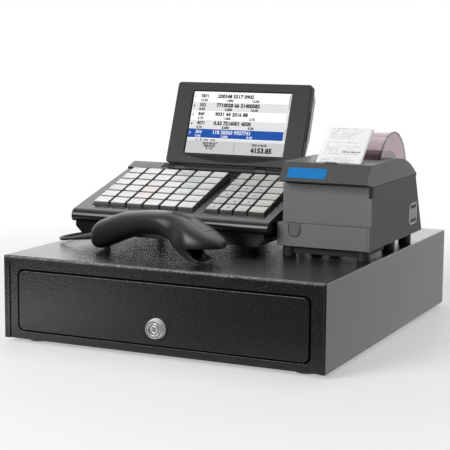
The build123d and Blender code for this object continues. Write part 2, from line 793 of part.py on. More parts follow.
# ------------------------------------------------------------------ lower case with board posts
lower_left = terminal_left + lower_case_inset
lower_right = terminal_right - lower_case_inset
lower_mid = (lower_left + lower_right) / 2
lower_front = terminal_front + 2.0
lower_floor = above(terminal_post_height + terminal_shell)
board_left = lower_left + board_margin
board_right = lower_right - board_margin
board_front = lower_front + board_margin
board_rear = lower_case_rear - terminal_shell - 1.0
board_mid = (board_left + board_right) / 2
board_under = above(board_height)
board_post_x = (board_right - board_left) / 2 - 6.0
plug_x = coil_centre[0] + coil_mid_radius + cord_radius
with BuildPart() as terminal_lower_case:
    with Locations((lower_mid, depth(lower_front), above(terminal_post_height))):
        Box(lower_right - lower_left, lower_case_rear - lower_front, lower_case_height,
            align=(Align.CENTER, Align.MIN, Align.MIN))
    bottom_edges = terminal_lower_case.faces().sort_by(Axis.Z)[0].edges()
    chamfer(bottom_edges.filter_by(Axis.Y), lower_case_chamfer)
    offset(amount=-terminal_shell, openings=terminal_lower_case.faces().sort_by(Axis.Z)[-1])
    with BuildSketch(Plane.XY.offset(lower_floor)):
        for post_y in (board_front + 8.0, board_rear - 8.0):
            with Locations((board_mid + board_post_x, depth(post_y)),
                           (board_mid - board_post_x, depth(post_y))):
                Circle(board_post_radius)
    extrude(amount=board_under - lower_floor)
    # shallow blanked port in the front wall
    with Locations((front_port_x, depth(lower_front), above(terminal_post_height + lower_case_height / 2))):
        Box(front_port_width, front_port_depth, front_port_height,
            align=(Align.CENTER, Align.MIN, Align.CENTER),
            mode=Mode.SUBTRACT)
    # cut-out for the scanner socket in the back wall
    with Locations((plug_x, depth(lower_case_rear), board_under + board_thickness - socket_height)):
        Box(socket_width + 1, 3 * terminal_shell, socket_height + 1,
            align=(Align.CENTER, Align.CENTER, Align.MIN),
            mode=Mode.SUBTRACT)
save(terminal_lower_case.part, "terminal_lower_case")

# ------------------------------------------------------------------ four posts the terminal stands on
post_x = (terminal_left + 34.0, front_port_x - 3.0)
with BuildPart() as terminal_feet:
    for foot_centre_x in post_x:
        for foot_centre_y in (depth(lower_front + 30.0), depth(lower_case_rear - 22.0)):
            with Locations((foot_centre_x, foot_centre_y, case_top)):
                Box(terminal_post_size, terminal_post_size, terminal_post_height,
                    align=(Align.CENTER, Align.CENTER, Align.MIN))
save(terminal_feet.part, "terminal_feet")

# ------------------------------------------------------------------ main board with its parts
with BuildPart() as main_board:
    with Locations((board_mid, depth(board_front), board_under)):
        Box(board_right - board_left, board_rear - board_front, board_thickness,
            align=(Align.CENTER, Align.MIN, Align.MIN))
    chip_top = board_under + board_thickness
    chips = ((-120.0, 200.0, 28.0, 28.0, 2.5), (-60.0, 230.0, 36.0, 20.0, 2.0),
             (0.0, 210.0, 18.0, 18.0, 2.0), (-110.0, 270.0, 50.0, 12.0, 3.5),
             (20.0, 280.0, 14.0, 30.0, 4.0))
    for chip_x, chip_y, chip_width, chip_length, chip_height in chips:
        with Locations((chip_x, depth(chip_y), chip_top)):
            Box(chip_width, chip_length, chip_height, align=(Align.CENTER, Align.CENTER, Align.MIN))
    # socket for the scanner lead, hung under the rear edge of the board
    with Locations((plug_x, depth(lower_case_rear), board_under)):
        Box(socket_width, 12.0, socket_height - board_thickness, align=(Align.CENTER, Align.MAX, Align.MAX))
    with Locations((plug_x, depth(lower_case_rear), board_under - (socket_height - board_thickness) / 2)):
        Box(socket_width - 3.0, 9.0, socket_height - board_thickness - 2.4,
            align=(Align.CENTER, Align.MAX, Align.CENTER), mode=Mode.SUBTRACT)
save(main_board.part, "main_board")

# ------------------------------------------------------------------ key switch plate
key_bottom = -key_height
switch_top = key_bottom - key_travel - switch_clearance
plate_top = switch_top - switch_height
plate_left = left_field[0] - 4.0
plate_right = right_field[0] + right_field[1] + 4.0
plate_mid = (plate_left + plate_right) / 2
key_columns = [(left_block_start + (i + 0.5) * key_wide * key_unit, key_wide)
               for i in range(left_block_columns)]
key_columns += [(right_block_start + (i + 0.5) * key_unit, 1.0) for i in range(right_block_narrow_columns)]
key_columns += [(right_block_start + (right_block_narrow_columns + key_wide / 2) * key_unit, key_wide)]
row_middles = [(row + 0.5) * key_unit for row in range(key_rows)]
key_spots = [(x, y) for x, _ in key_columns for y in row_middles]
standoffs = (plate_left + 1.5, left_field[0] + left_field[1] + 6.0, plate_right - 1.5)
deck_origin = (0, depth(key_plane_front), above(deck_height(key_plane_front)))
deck_underside = Plane(origin=deck_origin, x_dir=(1, 0, 0), z_dir=(0, -deck_rise, 1)).offset(-terminal_shell)
with BuildPart() as key_plate:
    with BuildSketch(key_plane.offset(plate_top)):
        with Locations((plate_mid, field_depth / 2)):
            Rectangle(plate_right - plate_left, field_depth + 6.0)
    extrude(amount=-key_plate_thickness)
    with BuildSketch(key_plane.offset(plate_top)):
        with Locations(*key_spots):
            Rectangle(switch_size, switch_size)
    extrude(amount=switch_height)
    # ribs that screw the plate up against the underside of the deck
    with BuildSketch(key_plane.offset(plate_top)):
        for standoff_x in standoffs:
            with Locations((standoff_x, field_depth / 2)):
                Rectangle(2.0, field_depth)
    extrude(amount=-plate_top)
    with Locations(deck_underside):
        Box(2 * terminal_width, 4 * field_depth, key_height + key_proud,
            align=(Align.CENTER, Align.CENTER, Align.MIN), mode=Mode.SUBTRACT)
    with BuildSketch(key_plane.offset(switch_top)):
        with Locations(*key_spots):
            Circle(key_stem_radius + key_stem_clearance)
    extrude(amount=-(switch_height + key_plate_thickness), mode=Mode.SUBTRACT)
save(key_plate.part, "key_plate")

# ------------------------------------------------------------------ key rows, left block and right block
blocks = (("left", key_columns[:left_block_columns]), ("right", key_columns[left_block_columns:]))
for block_name, columns in blocks:
    for row, row_middle in enumerate(row_middles):
        with BuildPart() as key_row:
            for column_x, units in columns:
                cap_width = units * key_unit - key_gap
                cap_length = key_unit - key_gap
                with BuildSketch(key_plane.offset(key_bottom)):
                    with Locations((column_x, row_middle)):
                        RectangleRounded(cap_width, cap_length, 0.8)
                with BuildSketch(key_plane):
                    with Locations((column_x, row_middle)):
                        RectangleRounded(cap_width - 2 * key_taper, cap_length - 2 * key_taper, 1.2)
                loft()
            with BuildSketch(key_plane.offset(key_bottom)):
                with Locations(*[(column_x, row_middle) for column_x, _ in columns]):
                    Circle(key_stem_radius)
            extrude(amount=-(key_travel + switch_clearance + key_stem_entry))
        save(key_row.part, f"{block_name}_key_row_{row + 1}")

# ================================================================== DISPLAY
# local u runs to the right, v up the tilted face, and the plane's normal faces the user
display_plane = Plane(origin=(display_left, depth(display_foot_back), above(display_foot_height)),
                      x_dir=(1, 0, 0),
                      z_dir=(0, -math.cos(hinge_tilt), math.sin(hinge_tilt)))
hinge_line = Plane(origin=(display_left, hinge_y, hinge_z), x_dir=(0, 1, 0), z_dir=(1, 0, 0))
hinge_half = hinge_barrel_length / 2
display_plane_axis = Axis(display_plane.origin, display_plane.z_dir)
barrel_edges = [hinge_barrel_end_gap]
for place in hinge_places:
    barrel_edges += [place - hinge_half - hinge_side_gap, place + hinge_half + hinge_side_gap]
barrel_edges.append(display_width - hinge_barrel_end_gap)
barrel_spans = list(zip(barrel_edges[0::2], barrel_edges[1::2]))
with BuildPart() as display_bezel:
    with BuildSketch(display_plane):
        with Locations((display_width / 2, display_height / 2)):
            RectangleRounded(display_width, display_height, display_corner)
    extrude(amount=-bezel_depth)
    long_edges = display_bezel.edges().filter_by(lambda edge: edge.length > 50)
    fillet(long_edges.sort_by(Axis.Y)[0:2], bezel_edge_radius)
    with BuildSketch(display_plane.offset(-bezel_face)):
        with Locations((display_width / 2, display_height / 2)):
            Rectangle(display_width - 2 * bezel_wall, display_height - 2 * bezel_wall)
    extrude(amount=-bezel_depth, mode=Mode.SUBTRACT)
    with BuildSketch(display_plane):
        with Locations((screen_left + screen_width / 2, screen_bottom + screen_height / 2)):
            Rectangle(screen_width, screen_height)
    extrude(amount=-bezel_face, mode=Mode.SUBTRACT)
    # shallow crescent in the face under the screen
    with BuildSketch(display_plane):
        with BuildLine():
            ThreePointArc((screen_left + crescent_inset, screen_bottom),
                          (screen_left + screen_width / 2, screen_bottom - crescent_drop),
                          (screen_left + screen_width - crescent_inset, screen_bottom))
            Line((screen_left + screen_width - crescent_inset, screen_bottom),
                 (screen_left + crescent_inset, screen_bottom))
        make_face()
    extrude(amount=-crescent_depth, mode=Mode.SUBTRACT)
    # card slot in the right-hand side
    with BuildSketch(display_plane.offset(-bezel_depth / 2 + card_slot_width / 2)):
        with Locations((display_width, (card_slot_low + card_slot_high) / 2)):
            Rectangle(2 * card_slot_depth, card_slot_high - card_slot_low)
    extrude(amount=-card_slot_width, mode=Mode.SUBTRACT)
    # hinge barrels along the bottom edge, with a web that joins them to the bezel
    for span_start, span_end in barrel_spans:
        with BuildSketch(hinge_line.offset(span_start)):
            Circle(hinge_barrel_radius)
        extrude(amount=span_end - span_start)
        with BuildSketch(display_plane.offset(-hinge_back + hinge_web_thickness / 2)):
            with Locations(((span_start + span_end) / 2, -hinge_down)):
                Rectangle(span_end - span_start, hinge_down + bezel_wall, align=(Align.CENTER, Align.MIN))
        extrude(amount=-hinge_web_thickness)
    for place in hinge_places:
        with BuildSketch(hinge_line.offset(place - hinge_half - hinge_side_gap - hinge_lug_length)):
            Circle(hinge_pin_radius)
        extrude(amount=hinge_barrel_length + 2 * (hinge_side_gap + hinge_lug_length))
save(display_bezel.part, "display_bezel")

# ------------------------------------------------------------------ display panel
with BuildPart() as display_panel:
    with BuildSketch(display_plane.offset(-bezel_face)):
        with Locations((screen_left + screen_width / 2, screen_bottom + screen_height / 2)):
            Rectangle(screen_width + 2 * panel_margin, screen_height + 2 * panel_margin)
    extrude(amount=-panel_thickness)
save(display_panel.part, "display_panel")

# ------------------------------------------------------------------ pale rear cover, a tapered shell
rear_side = Plane(origin=(display_left + display_width - rear_cover_inset, depth(display_foot_back),
                          above(display_foot_height)),
                  x_dir=(0, math.sin(hinge_tilt), math.cos(hinge_tilt)), z_dir=(-1, 0, 0))
with BuildPart() as display_rear_cover:
    with BuildSketch(rear_side):
        with BuildLine():
            Polyline((rear_cover_inset, bezel_depth),
                     (rear_cover_inset, bezel_depth + rear_cover_foot_depth),
                     (0.42 * display_height, bezel_depth + rear_cover_depth),
                     (display_height - 14.0, bezel_depth + rear_cover_depth),
                     (display_height - rear_cover_inset, bezel_depth + rear_cover_foot_depth),
                     (display_height - rear_cover_inset, bezel_depth), close=True)
        make_face()
    extrude(amount=display_width - 2 * rear_cover_inset)
    offset(amount=-rear_cover_wall, openings=display_rear_cover.faces().sort_by(display_plane_axis)[-1])
save(display_rear_cover.part, "display_rear_cover")

# ------------------------------------------------------------------ hinge brackets on the pocket floor
with BuildPart() as hinge_brackets:
    for place in hinge_places:
        with BuildSketch(hinge_line.offset(place - hinge_half)):
            Circle(hinge_barrel_radius)
            Rectangle(2 * hinge_barrel_radius, hinge_z - pocket_floor, align=(Align.CENTER, Align.MAX))
            Circle(hinge_pin_radius + hinge_pin_clearance, mode=Mode.SUBTRACT)
        extrude(amount=hinge_barrel_length)
save(hinge_brackets.part, "hinge_brackets")


# ================================================================== RECEIPT PRINTER
def profile_block(points, x_start, x_end, mode=Mode.ADD):
    """Block between two x planes, from its side outline of (distance, height) points."""
    with BuildSketch(Plane.YZ.offset(x_start)) as outline:
        with BuildLine():
            Polyline(*[(depth(distance), above(height)) for distance, height in points], close=True)
        make_face()
    extrude(outline.sketch, amount=x_end - x_start, mode=mode)


def cross_cylinder(distance, height, radius, x_start, x_end, mode=Mode.ADD):
    """Cylinder along X between two x planes, centred on a (distance, height) point."""
    with BuildSketch(Plane.YZ.offset(x_start)) as disc:
        with Locations((depth(distance), above(height))):
            Circle(radius)
    extrude(disc.sketch, amount=x_end - x_start, mode=mode)


def brick(x_span, distance_span, height_span, mode=Mode.ADD):
    """Box from its three spans (start, end)."""
    with Locations((x_span[0], depth(distance_span[0]), above(height_span[0]))):
        Box(x_span[1] - x_span[0], distance_span[1] - distance_span[0], height_span[1] - height_span[0],
            align=(Align.MIN, Align.MIN, Align.MIN), mode=mode)


def rear_face(height):
    """Distance behind the case front of the printer's leaning rear face at this height."""
    return printer_rear - (height - printer_foot_height) * math.tan(math.radians(printer_rear_lean))


# ------------------------------------------------------------------ printer base: open tray with a ledge
base_top = printer_foot_height + printer_base_height
body_top = printer_seam_height - printer_seam_gap
cover_bottom = printer_seam_height + printer_seam_gap
base_right = printer_right - printer_wall - printer_side_gap
body_left = printer_left + printer_body_inset_left
body_front = printer_front + printer_body_inset_front
inner_left = body_left + printer_wall
inner_right = printer_right - printer_wall
base_outline = [(printer_front, printer_foot_height), (printer_front, base_top),
                (rear_face(base_top), base_top),
                (rear_face(printer_foot_height), printer_foot_height)]
rocker_span = (rocker_back - rocker_frame_width / 2, rocker_back + rocker_frame_width / 2)
rocker_rise = (rocker_height - rocker_frame_height / 2, rocker_height + rocker_frame_height / 2)
with BuildPart() as printer_base:
    profile_block(base_outline, printer_left, base_right)
    offset(amount=-printer_wall, openings=printer_base.faces().sort_by(Axis.Z)[-1])
    ledge = (base_top - printer_wall, base_top)
    brick((printer_left, base_right), (printer_front, body_front + printer_wall), ledge)
    brick((printer_left, inner_left), (printer_front, rear_face(base_top)), ledge)
    # room for the switch housing in the right-hand wall
    brick((base_right - printer_wall, base_right), (rocker_span[0] - 0.5, rocker_span[1] + 0.5),
          (rocker_rise[0] - 0.5, base_top), Mode.SUBTRACT)
    # hole for the feed button, open to the top of the ledge
    with BuildSketch(Plane.XZ.offset(-depth(printer_front))):
        with Locations((feed_button_x, above(feed_button_height))):
            Circle(feed_button_radius + feed_button_gap)
            Rectangle(2 * (feed_button_radius + feed_button_gap), base_top - feed_button_height,
                      align=(Align.CENTER, Align.MIN))
    extrude(amount=-(printer_body_inset_front + 0.5), mode=Mode.SUBTRACT)
save(printer_base.part, "printer_base")

# ------------------------------------------------------------------ printer body with the paper bay
paper_left = paper_right - paper_width
hinge_sets = (body_left, printer_right - 3 * cover_knuckle_length)
cover_hinge = (rear_face(body_top), printer_seam_height)
bay_left = paper_left - platen_side_clearance
bay_right = paper_right + platen_side_clearance
with BuildPart() as printer_body:
    profile_block([(body_front, base_top), (body_front, body_top), (rear_face(body_top), body_top),
                   (rear_face(base_top), base_top)], body_left, printer_right)
    open_faces = printer_body.faces().filter_by(Axis.Z)
    offset(amount=-printer_wall, openings=open_faces)
    profile_block(base_outline, inner_right, printer_right)
    brick((inner_left, inner_right), (bay_front, bay_rear), (bay_floor, bay_rim))
    cross_cylinder(roll_back, roll_height, roll_radius + bay_clearance, bay_left, bay_right, Mode.SUBTRACT)
    # corner block and the small recess in the front corner under the cover
    brick((inner_right - notch_width, inner_right),
          (body_front + printer_wall, body_front + 2 * notch_depth),
          (body_top - 1.2 * notch_height, body_top))
    brick((printer_right - notch_width, printer_right), (body_front, body_front + notch_depth),
          (body_top - notch_height, body_top), Mode.SUBTRACT)
    # housing of the power switch
    brick((printer_right - rocker_frame_depth, printer_right), rocker_span, rocker_rise)
    brick((printer_right - rocker_frame_depth, printer_right),
          (rocker_back - rocker_length / 2 - rocker_pin_clearance,
           rocker_back + rocker_length / 2 + rocker_pin_clearance),
          (rocker_height - rocker_width / 2 - rocker_gap, rocker_height + rocker_width / 2 + rocker_gap),
          Mode.SUBTRACT)
    with BuildSketch(Plane.XZ.offset(-depth(rocker_span[0]))):
        with Locations((printer_right - rocker_frame_depth / 2, above(rocker_height))):
            Circle(rocker_pin_radius + rocker_pin_clearance)
    extrude(amount=-rocker_frame_width, mode=Mode.SUBTRACT)
    # lugs and pins of the cover hinge
    for start in hinge_sets:
        middle = start + cover_knuckle_length
        end = middle + 2 * cover_knuckle_length
        cross_cylinder(*cover_hinge, cover_knuckle_radius + cover_knuckle_gap, middle,
                       middle + cover_knuckle_length, Mode.SUBTRACT)
        cross_cylinder(*cover_hinge, cover_knuckle_radius, start, middle)
        cross_cylinder(*cover_hinge, cover_knuckle_radius, end - cover_knuckle_length, end)
        cross_cylinder(*cover_hinge, cover_pin_radius, start, end)
save(printer_body.part, "printer_body")

# ------------------------------------------------------------------ printer cover
dome_left = paper_left - dome_side_clearance
dome_right = paper_right + dome_side_clearance
dome_front = dome_back - dome_radius
slot_span = (paper_left - paper_side_clearance, paper_right + paper_side_clearance)
cheek_spans = ((dome_left - dome_gap - dome_cheek_width, dome_left - dome_gap),
               (dome_right + dome_gap, dome_right + dome_gap + dome_cheek_width))
platen_left = paper_left - platen_side_clearance
platen_right = paper_right + platen_side_clearance
platen_cheeks = ((platen_left - platen_cheek_gap - platen_cheek_width, platen_left - platen_cheek_gap),
                 (platen_right + platen_cheek_gap, platen_right + platen_cheek_gap + platen_cheek_width))
cover_left = printer_left + cover_inset_left
with BuildPart() as printer_cover:
    with BuildSketch(Plane.YZ.offset(cover_left)) as cover_section:
        with BuildLine():
            Polyline((depth(rear_face(cover_bottom)), above(cover_bottom)),
                     (depth(cover_lip_back), above(cover_bottom)),
                     (depth(cover_lip_front), above(cover_lip_height)),
                     (depth(cover_edge_front), above(printer_top_height)),
                     (depth(cover_top_rear), above(printer_top_height)))
            TangentArc((depth(cover_top_rear), above(printer_top_height)),
                       (depth(cover_shoulder_back), above(cover_shoulder_height)), tangent=(1, 0))
            Line((depth(cover_shoulder_back), above(cover_shoulder_height)),
                 (depth(rear_face(cover_bottom)), above(cover_bottom)))
        make_face()
    extrude(amount=printer_right - cover_left)
    with BuildSketch(Plane.YZ.offset(cover_left + printer_wall)):
        add(offset(cover_section.sketch_local, amount=-printer_wall, mode=Mode.PRIVATE))
    extrude(amount=printer_right - cover_left - 2 * printer_wall, mode=Mode.SUBTRACT)
    brick((cover_left + printer_wall, inner_right),
          (cover_lip_back + printer_wall, rear_face(cover_bottom) - 1.5 * printer_wall),
          (cover_bottom, cover_bottom + 2 * printer_wall), Mode.SUBTRACT)
    brick(slot_span, (paper_slot_front, paper_slot_rear),
          (printer_top_height - 2 * printer_wall, printer_top_height), Mode.SUBTRACT)
    brick((dome_left - dome_gap, dome_right + dome_gap), (dome_front - dome_gap, printer_rear),
          (cover_bottom, printer_top_height), Mode.SUBTRACT)
    # cheeks with the dome's pivot holes
    for cheek_start, cheek_end in cheek_spans:
        profile_block([(dome_pin_back - dome_cheek_front, cover_bottom),
                       (dome_pin_back - dome_cheek_front, dome_cheek_heights[0]),
                       (dome_pin_back + dome_cheek_middle, dome_cheek_heights[1]),
                       (dome_pin_back + dome_cheek_rear, dome_cheek_heights[2]),
                       (dome_pin_back + dome_cheek_rear, cover_bottom)], cheek_start, cheek_end)
        cross_cylinder(dome_pin_back, dome_pin_height, dome_pin_radius + dome_pin_clearance,
                       cheek_start, cheek_end,
                       Mode.SUBTRACT)
    # cheeks that carry the platen shaft
    for cheek_start, cheek_end in platen_cheeks:
        brick((cheek_start, cheek_end),
              (platen_back - platen_cheek_half, platen_back + platen_cheek_half),
              (platen_height - platen_cheek_drop, printer_top_height - printer_wall))
        cross_cylinder(platen_back, platen_height, platen_shaft_radius + platen_clearance,
                       cheek_start, cheek_end,
                       Mode.SUBTRACT)
    for start in hinge_sets:
        middle = start + cover_knuckle_length
        end = middle + 2 * cover_knuckle_length
        for lug_start in (start, end - cover_knuckle_length):
            cross_cylinder(*cover_hinge, cover_knuckle_radius + cover_knuckle_gap, lug_start,
                           lug_start + cover_knuckle_length, Mode.SUBTRACT)
        cross_cylinder(*cover_hinge, cover_knuckle_radius, middle + cover_knuckle_end_gap,
                       middle + cover_knuckle_length - cover_knuckle_end_gap)
        cross_cylinder(*cover_hinge, cover_pin_radius + cover_pin_clearance, start, end, Mode.SUBTRACT)
save(printer_cover.part, "printer_cover")

# ------------------------------------------------------------------ smoked dome over the paper roll
with BuildPart() as roll_dome:
    cross_cylinder(dome_back, dome_height, dome_radius, dome_left, dome_right)
    cross_cylinder(dome_back, dome_height, dome_radius - dome_thickness, dome_left + dome_thickness,
                   dome_right - dome_thickness, Mode.SUBTRACT)
    profile_block([(dome_front - 5, dome_front_edge), (dome_back + dome_radius + 5, dome_rear_edge),
                   (dome_back + dome_radius + 5, 0), (dome_front - 5, 0)],
                   dome_left, dome_right, Mode.SUBTRACT)
    # ears down to the pivot pins
    for ear_start in (dome_left, dome_right - dome_thickness):
        profile_block([(dome_pin_back - 8, dome_pin_height + 13), (dome_pin_back - 4, dome_pin_height - 3),
                       (dome_pin_back + 4, dome_pin_height - 3), (dome_pin_back + 8, dome_pin_height + 12)],
                      ear_start, ear_start + dome_thickness)
    cross_cylinder(dome_pin_back, dome_pin_height, dome_pin_radius,
                   dome_left - dome_gap - dome_cheek_width + 1,
                   dome_left + dome_thickness)
    cross_cylinder(dome_pin_back, dome_pin_height, dome_pin_radius, dome_right - dome_thickness,
                   dome_right + dome_gap + dome_cheek_width - 1)
save(roll_dome.part, "roll_dome")

# ------------------------------------------------------------------ paper roll on its core
with BuildPart() as paper_roll:
    cross_cylinder(roll_back, roll_height, roll_radius, paper_left, paper_right)
    cross_cylinder(roll_back, roll_height, roll_core_radius, paper_left, paper_right, Mode.SUBTRACT)
save(paper_roll.part, "paper_roll")

# ------------------------------------------------------------------ printed receipt
lean = math.radians(paper_lean)
strip_line = platen_back - platen_radius - print_head_gap - paper_thickness / 2
exit_height = printer_top_height + 1.5
receipt_points = [(strip_line, platen_height - 1), (strip_line, print_head_top + 1),
                  (paper_exit - 3, printer_top_height - 2), (paper_exit, exit_height),
                  (paper_exit + paper_length * math.sin(lean), exit_height + paper_length * math.cos(lean))]
with BuildPart() as receipt_strip:
    with BuildSketch(Plane.YZ.offset(paper_left)):
        with BuildLine():
            Polyline(*[(depth(distance), above(height)) for distance, height in receipt_points])
        trace(line_width=paper_thickness)
    extrude(amount=paper_width)
save(receipt_strip.part, "receipt_strip")

# ------------------------------------------------------------------ platen roller with its gear
gear_start = platen_cheeks[1][1] + 0.5
with BuildPart() as platen_roller:
    cross_cylinder(platen_back, platen_height, platen_radius, platen_left, platen_right)
    cross_cylinder(platen_back, platen_height, platen_shaft_radius, platen_cheeks[0][0], gear_start)
    with BuildSketch(Plane.YZ.offset(gear_start)):
        with Locations((depth(platen_back), above(platen_height))):
            Circle(platen_gear_radius - gear_tooth_depth)
            with PolarLocations(platen_gear_radius - gear_tooth_depth / 2, platen_gear_teeth):
                Rectangle(gear_tooth_depth + 0.4, platen_gear_radius * math.pi / platen_gear_teeth)
    extrude(amount=platen_gear_width)
save(platen_roller.part, "platen_roller")

# ------------------------------------------------------------------ thermal print head on its web
head_back = strip_line - paper_thickness / 2 - print_head_gap
with BuildPart() as print_head:
    brick((paper_left - 1.5, paper_right + 1.5), (head_back - print_head_depth, head_back),
          (print_head_bottom, print_head_top))
    brick((paper_left - 1.5, paper_right + 1.5), (body_front + printer_wall, head_back),
          (print_head_bottom, print_head_bottom + 3.0))
save(print_head.part, "print_head")

# ------------------------------------------------------------------ feed button
with BuildPart() as feed_button:
    with BuildSketch(Plane.XZ.offset(-depth(printer_front - feed_button_proud))):
        with Locations((feed_button_x, above(feed_button_height))):
            Circle(feed_button_radius)
            Rectangle(2 * feed_button_radius, base_top - feed_button_height - feed_button_gap / 2,
                      align=(Align.CENTER, Align.MIN))
    extrude(amount=-feed_button_length)
    with BuildSketch(Plane.XZ.offset(-depth(printer_front + printer_wall + 0.3))):
        with Locations((feed_button_x, above(feed_button_height))):
            Circle(feed_button_radius + feed_flange)
    extrude(amount=-1.5)
save(feed_button.part, "feed_button")

# ------------------------------------------------------------------ rocker of the power switch
rocker_axis_x = printer_right - rocker_frame_depth / 2
with BuildPart() as power_switch:
    with BuildSketch(Plane.XZ.offset(-depth(rocker_back - rocker_length / 2 + 0.3))):
        with Locations((rocker_axis_x, above(rocker_height))):
            Circle(rocker_hub_radius)
        with Locations((printer_right + rocker_proud, above(rocker_height))):
            Rectangle(rocker_thickness, rocker_width, align=(Align.MAX, Align.CENTER))
    extrude(amount=-(rocker_length - 0.6))
    with BuildSketch(Plane.XZ.offset(-depth(rocker_back - rocker_length / 2 - rocker_pin_length + 0.5))):
        with Locations((rocker_axis_x, above(rocker_height))):
            Circle(rocker_pin_radius)
    extrude(amount=-(rocker_length + 2 * rocker_pin_length - 1.0))
save(power_switch.part, "power_switch")

# ------------------------------------------------------------------ printer feet
with BuildPart() as printer_feet:
    for foot_centre_x in (printer_left + 1.5 * printer_foot_radius, base_right - printer_foot_radius):
        for foot_distance in (printer_front + 12.0, (printer_front + printer_rear) / 2, printer_rear - 38.0):
            with BuildSketch(Plane.XY.offset(case_top)):
                with Locations((foot_centre_x, depth(foot_distance))):
                    Circle(printer_foot_radius)
            extrude(amount=printer_foot_height)
save(printer_feet.part, "printer_feet")

# ================================================================== HAND SCANNER
# local u runs along the scanner towards its nose, local y is height above the drawer, z the near side
heading = math.radians(scanner_heading)
forward = Vector(math.cos(heading), math.sin(heading), 0)
near = Vector(math.sin(heading), -math.cos(heading), 0)
scanner_plane = Plane(origin=(scanner_start, depth(scanner_back), case_top), x_dir=forward, z_dir=near)

# stations along the body: distance along, lowest point, highest point, width
stations = ((-12.0, 8.0, 21.0, 18.0), (-6.0, 3.2, 30.6, 27.0), (6.0, 0.5, 35.8, 31.0),
            (30.0, 6.2, 44.0, 32.0), (58.0, 18.5, 50.6, 32.0), (92.0, 29.2, 54.3, 34.0),
            (112.0, 27.2, 54.4, 40.0), (131.0, 18.8, 51.3, 52.0), (150.0, 17.1, 45.5, 58.0),
            (170.0, 18.6, 36.2, 50.0), (184.0, 19.8, 28.0, 34.0), (190.0, 20.6, 23.0, 18.0))


def scanner_loft(inset):
    """Smooth body through every station, drawn in by this much all round."""
    with BuildPart() as body:
        for index, (along, bottom, top, width) in enumerate(stations):
            shift = inset if index == 0 else -inset if index == len(stations) - 1 else 0
            spot = scanner_plane.from_local_coords((along + shift, (bottom + top) / 2, 0))
            size = (width - 2 * inset, max(top - bottom - 2 * inset, 0.6))
            with BuildSketch(Plane(origin=spot, x_dir=-near, z_dir=forward)):
                RectangleRounded(*size, scanner_corner * min(size))
        loft()
    return body.part


outer_body = scanner_loft(0)
inner_body = scanner_loft(scanner_wall)
scanner_shell = outer_body - inner_body


def scanner_prism(points, half_width):
    """Upright prism across the scanner, from its side outline of (along, height) points."""
    with BuildPart() as prism:
        with BuildSketch(scanner_plane.offset(-half_width)):
            with BuildLine():
                Polyline(*points, close=True)
            make_face()
        extrude(amount=2 * half_width)
    return prism.part


# the seam runs low along the handle and round the mouth under the nose
handle_zone = scanner_prism([(-20, 14), (0, 19), (30, 28), (62, 37.5), (85, 38), (105, 32.5), (122, 24),
                             (122, -6), (-20, -6)], mouth_width)
mouth_zone = scanner_prism([(108, 29), (157, 0.3), (168, 0.3), (150, 17.5), (146, 30), (112, 34)],
                           mouth_width)
mouth_block = scanner_prism([(118, 23.2), (157, 0.3), (168, 0.3), (150, 17.5), (146, 30), (118, 30)],
                            mouth_width / 2)
mouth_hollow = scanner_prism([(120, 24.5), (157.6, 2.3), (172, 2.3), (172, 17.2), (152, 17.2), (148, 28),
                              (120, 28)], mouth_width / 2 - mouth_wall)
trigger_block = scanner_prism([(trigger_start, trigger_low), (trigger_end, trigger_low), (trigger_end, 60),
                               (trigger_start, 60)], trigger_width / 2)
trigger_hole = scanner_prism([(trigger_start - trigger_gap, trigger_low),
                              (trigger_end + trigger_gap, trigger_low),
                              (trigger_end + trigger_gap, 60), (trigger_start - trigger_gap, 60)],
                             trigger_width / 2 + trigger_gap)

# strain relief axis: out of the tail end and slightly down
relief_angle = math.atan2(relief_tail_drop, relief_length)
relief_axis_height = (stations[0][1] + stations[0][2]) / 2 - 0.5
relief_origin = scanner_plane.from_local_coords((stations[0][0], relief_axis_height, 0))
relief_direction = -forward * math.cos(relief_angle) - Vector(0, 0, math.sin(relief_angle))
relief_plane = Plane(origin=relief_origin, x_dir=near, z_dir=relief_direction)
relief_start = relief_start_radius * math.sin(relief_angle)
with BuildPart() as relief_bore:
    with BuildSketch(relief_plane.offset(-2 * relief_start_radius)):
        Circle(relief_neck_radius + relief_bore_clearance)
    extrude(amount=4 * relief_start_radius)

# ------------------------------------------------------------------ scanner shells, trigger and window
with BuildPart() as scanner_upper_shell:
    add(scanner_shell - handle_zone - mouth_zone - trigger_hole - relief_bore.part)
save(scanner_upper_shell.part, "scanner_upper_shell")

with BuildPart() as scanner_lower_shell:
    add((scanner_shell & (handle_zone + mouth_zone)) + mouth_block - mouth_hollow - relief_bore.part)
    # rest nub under the handle
    with BuildSketch(scanner_plane.offset(rest_nub_size / 2)):
        with Locations((rest_nub_along, 0)):
            Rectangle(rest_nub_size, rest_nub_size + scanner_wall, align=(Align.CENTER, Align.MIN))
    extrude(amount=rest_nub_size)
save(scanner_lower_shell.part, "scanner_lower_shell")

with BuildPart() as scanner_trigger:
    add(scanner_shell & trigger_block)
save(scanner_trigger.part, "scanner_trigger")

window_foot = Vector(158.0, 2.4)
window_head = Vector(147.1, 17.0)
window_step = (window_foot - window_head).rotate(Axis.Z, 90).normalized() * window_thickness
with BuildPart() as scanner_window:
    add(scanner_prism([window_foot, window_foot + window_step, window_head + window_step, window_head],
                      mouth_width / 2 - mouth_wall - window_gap))
save(scanner_window.part, "scanner_window")

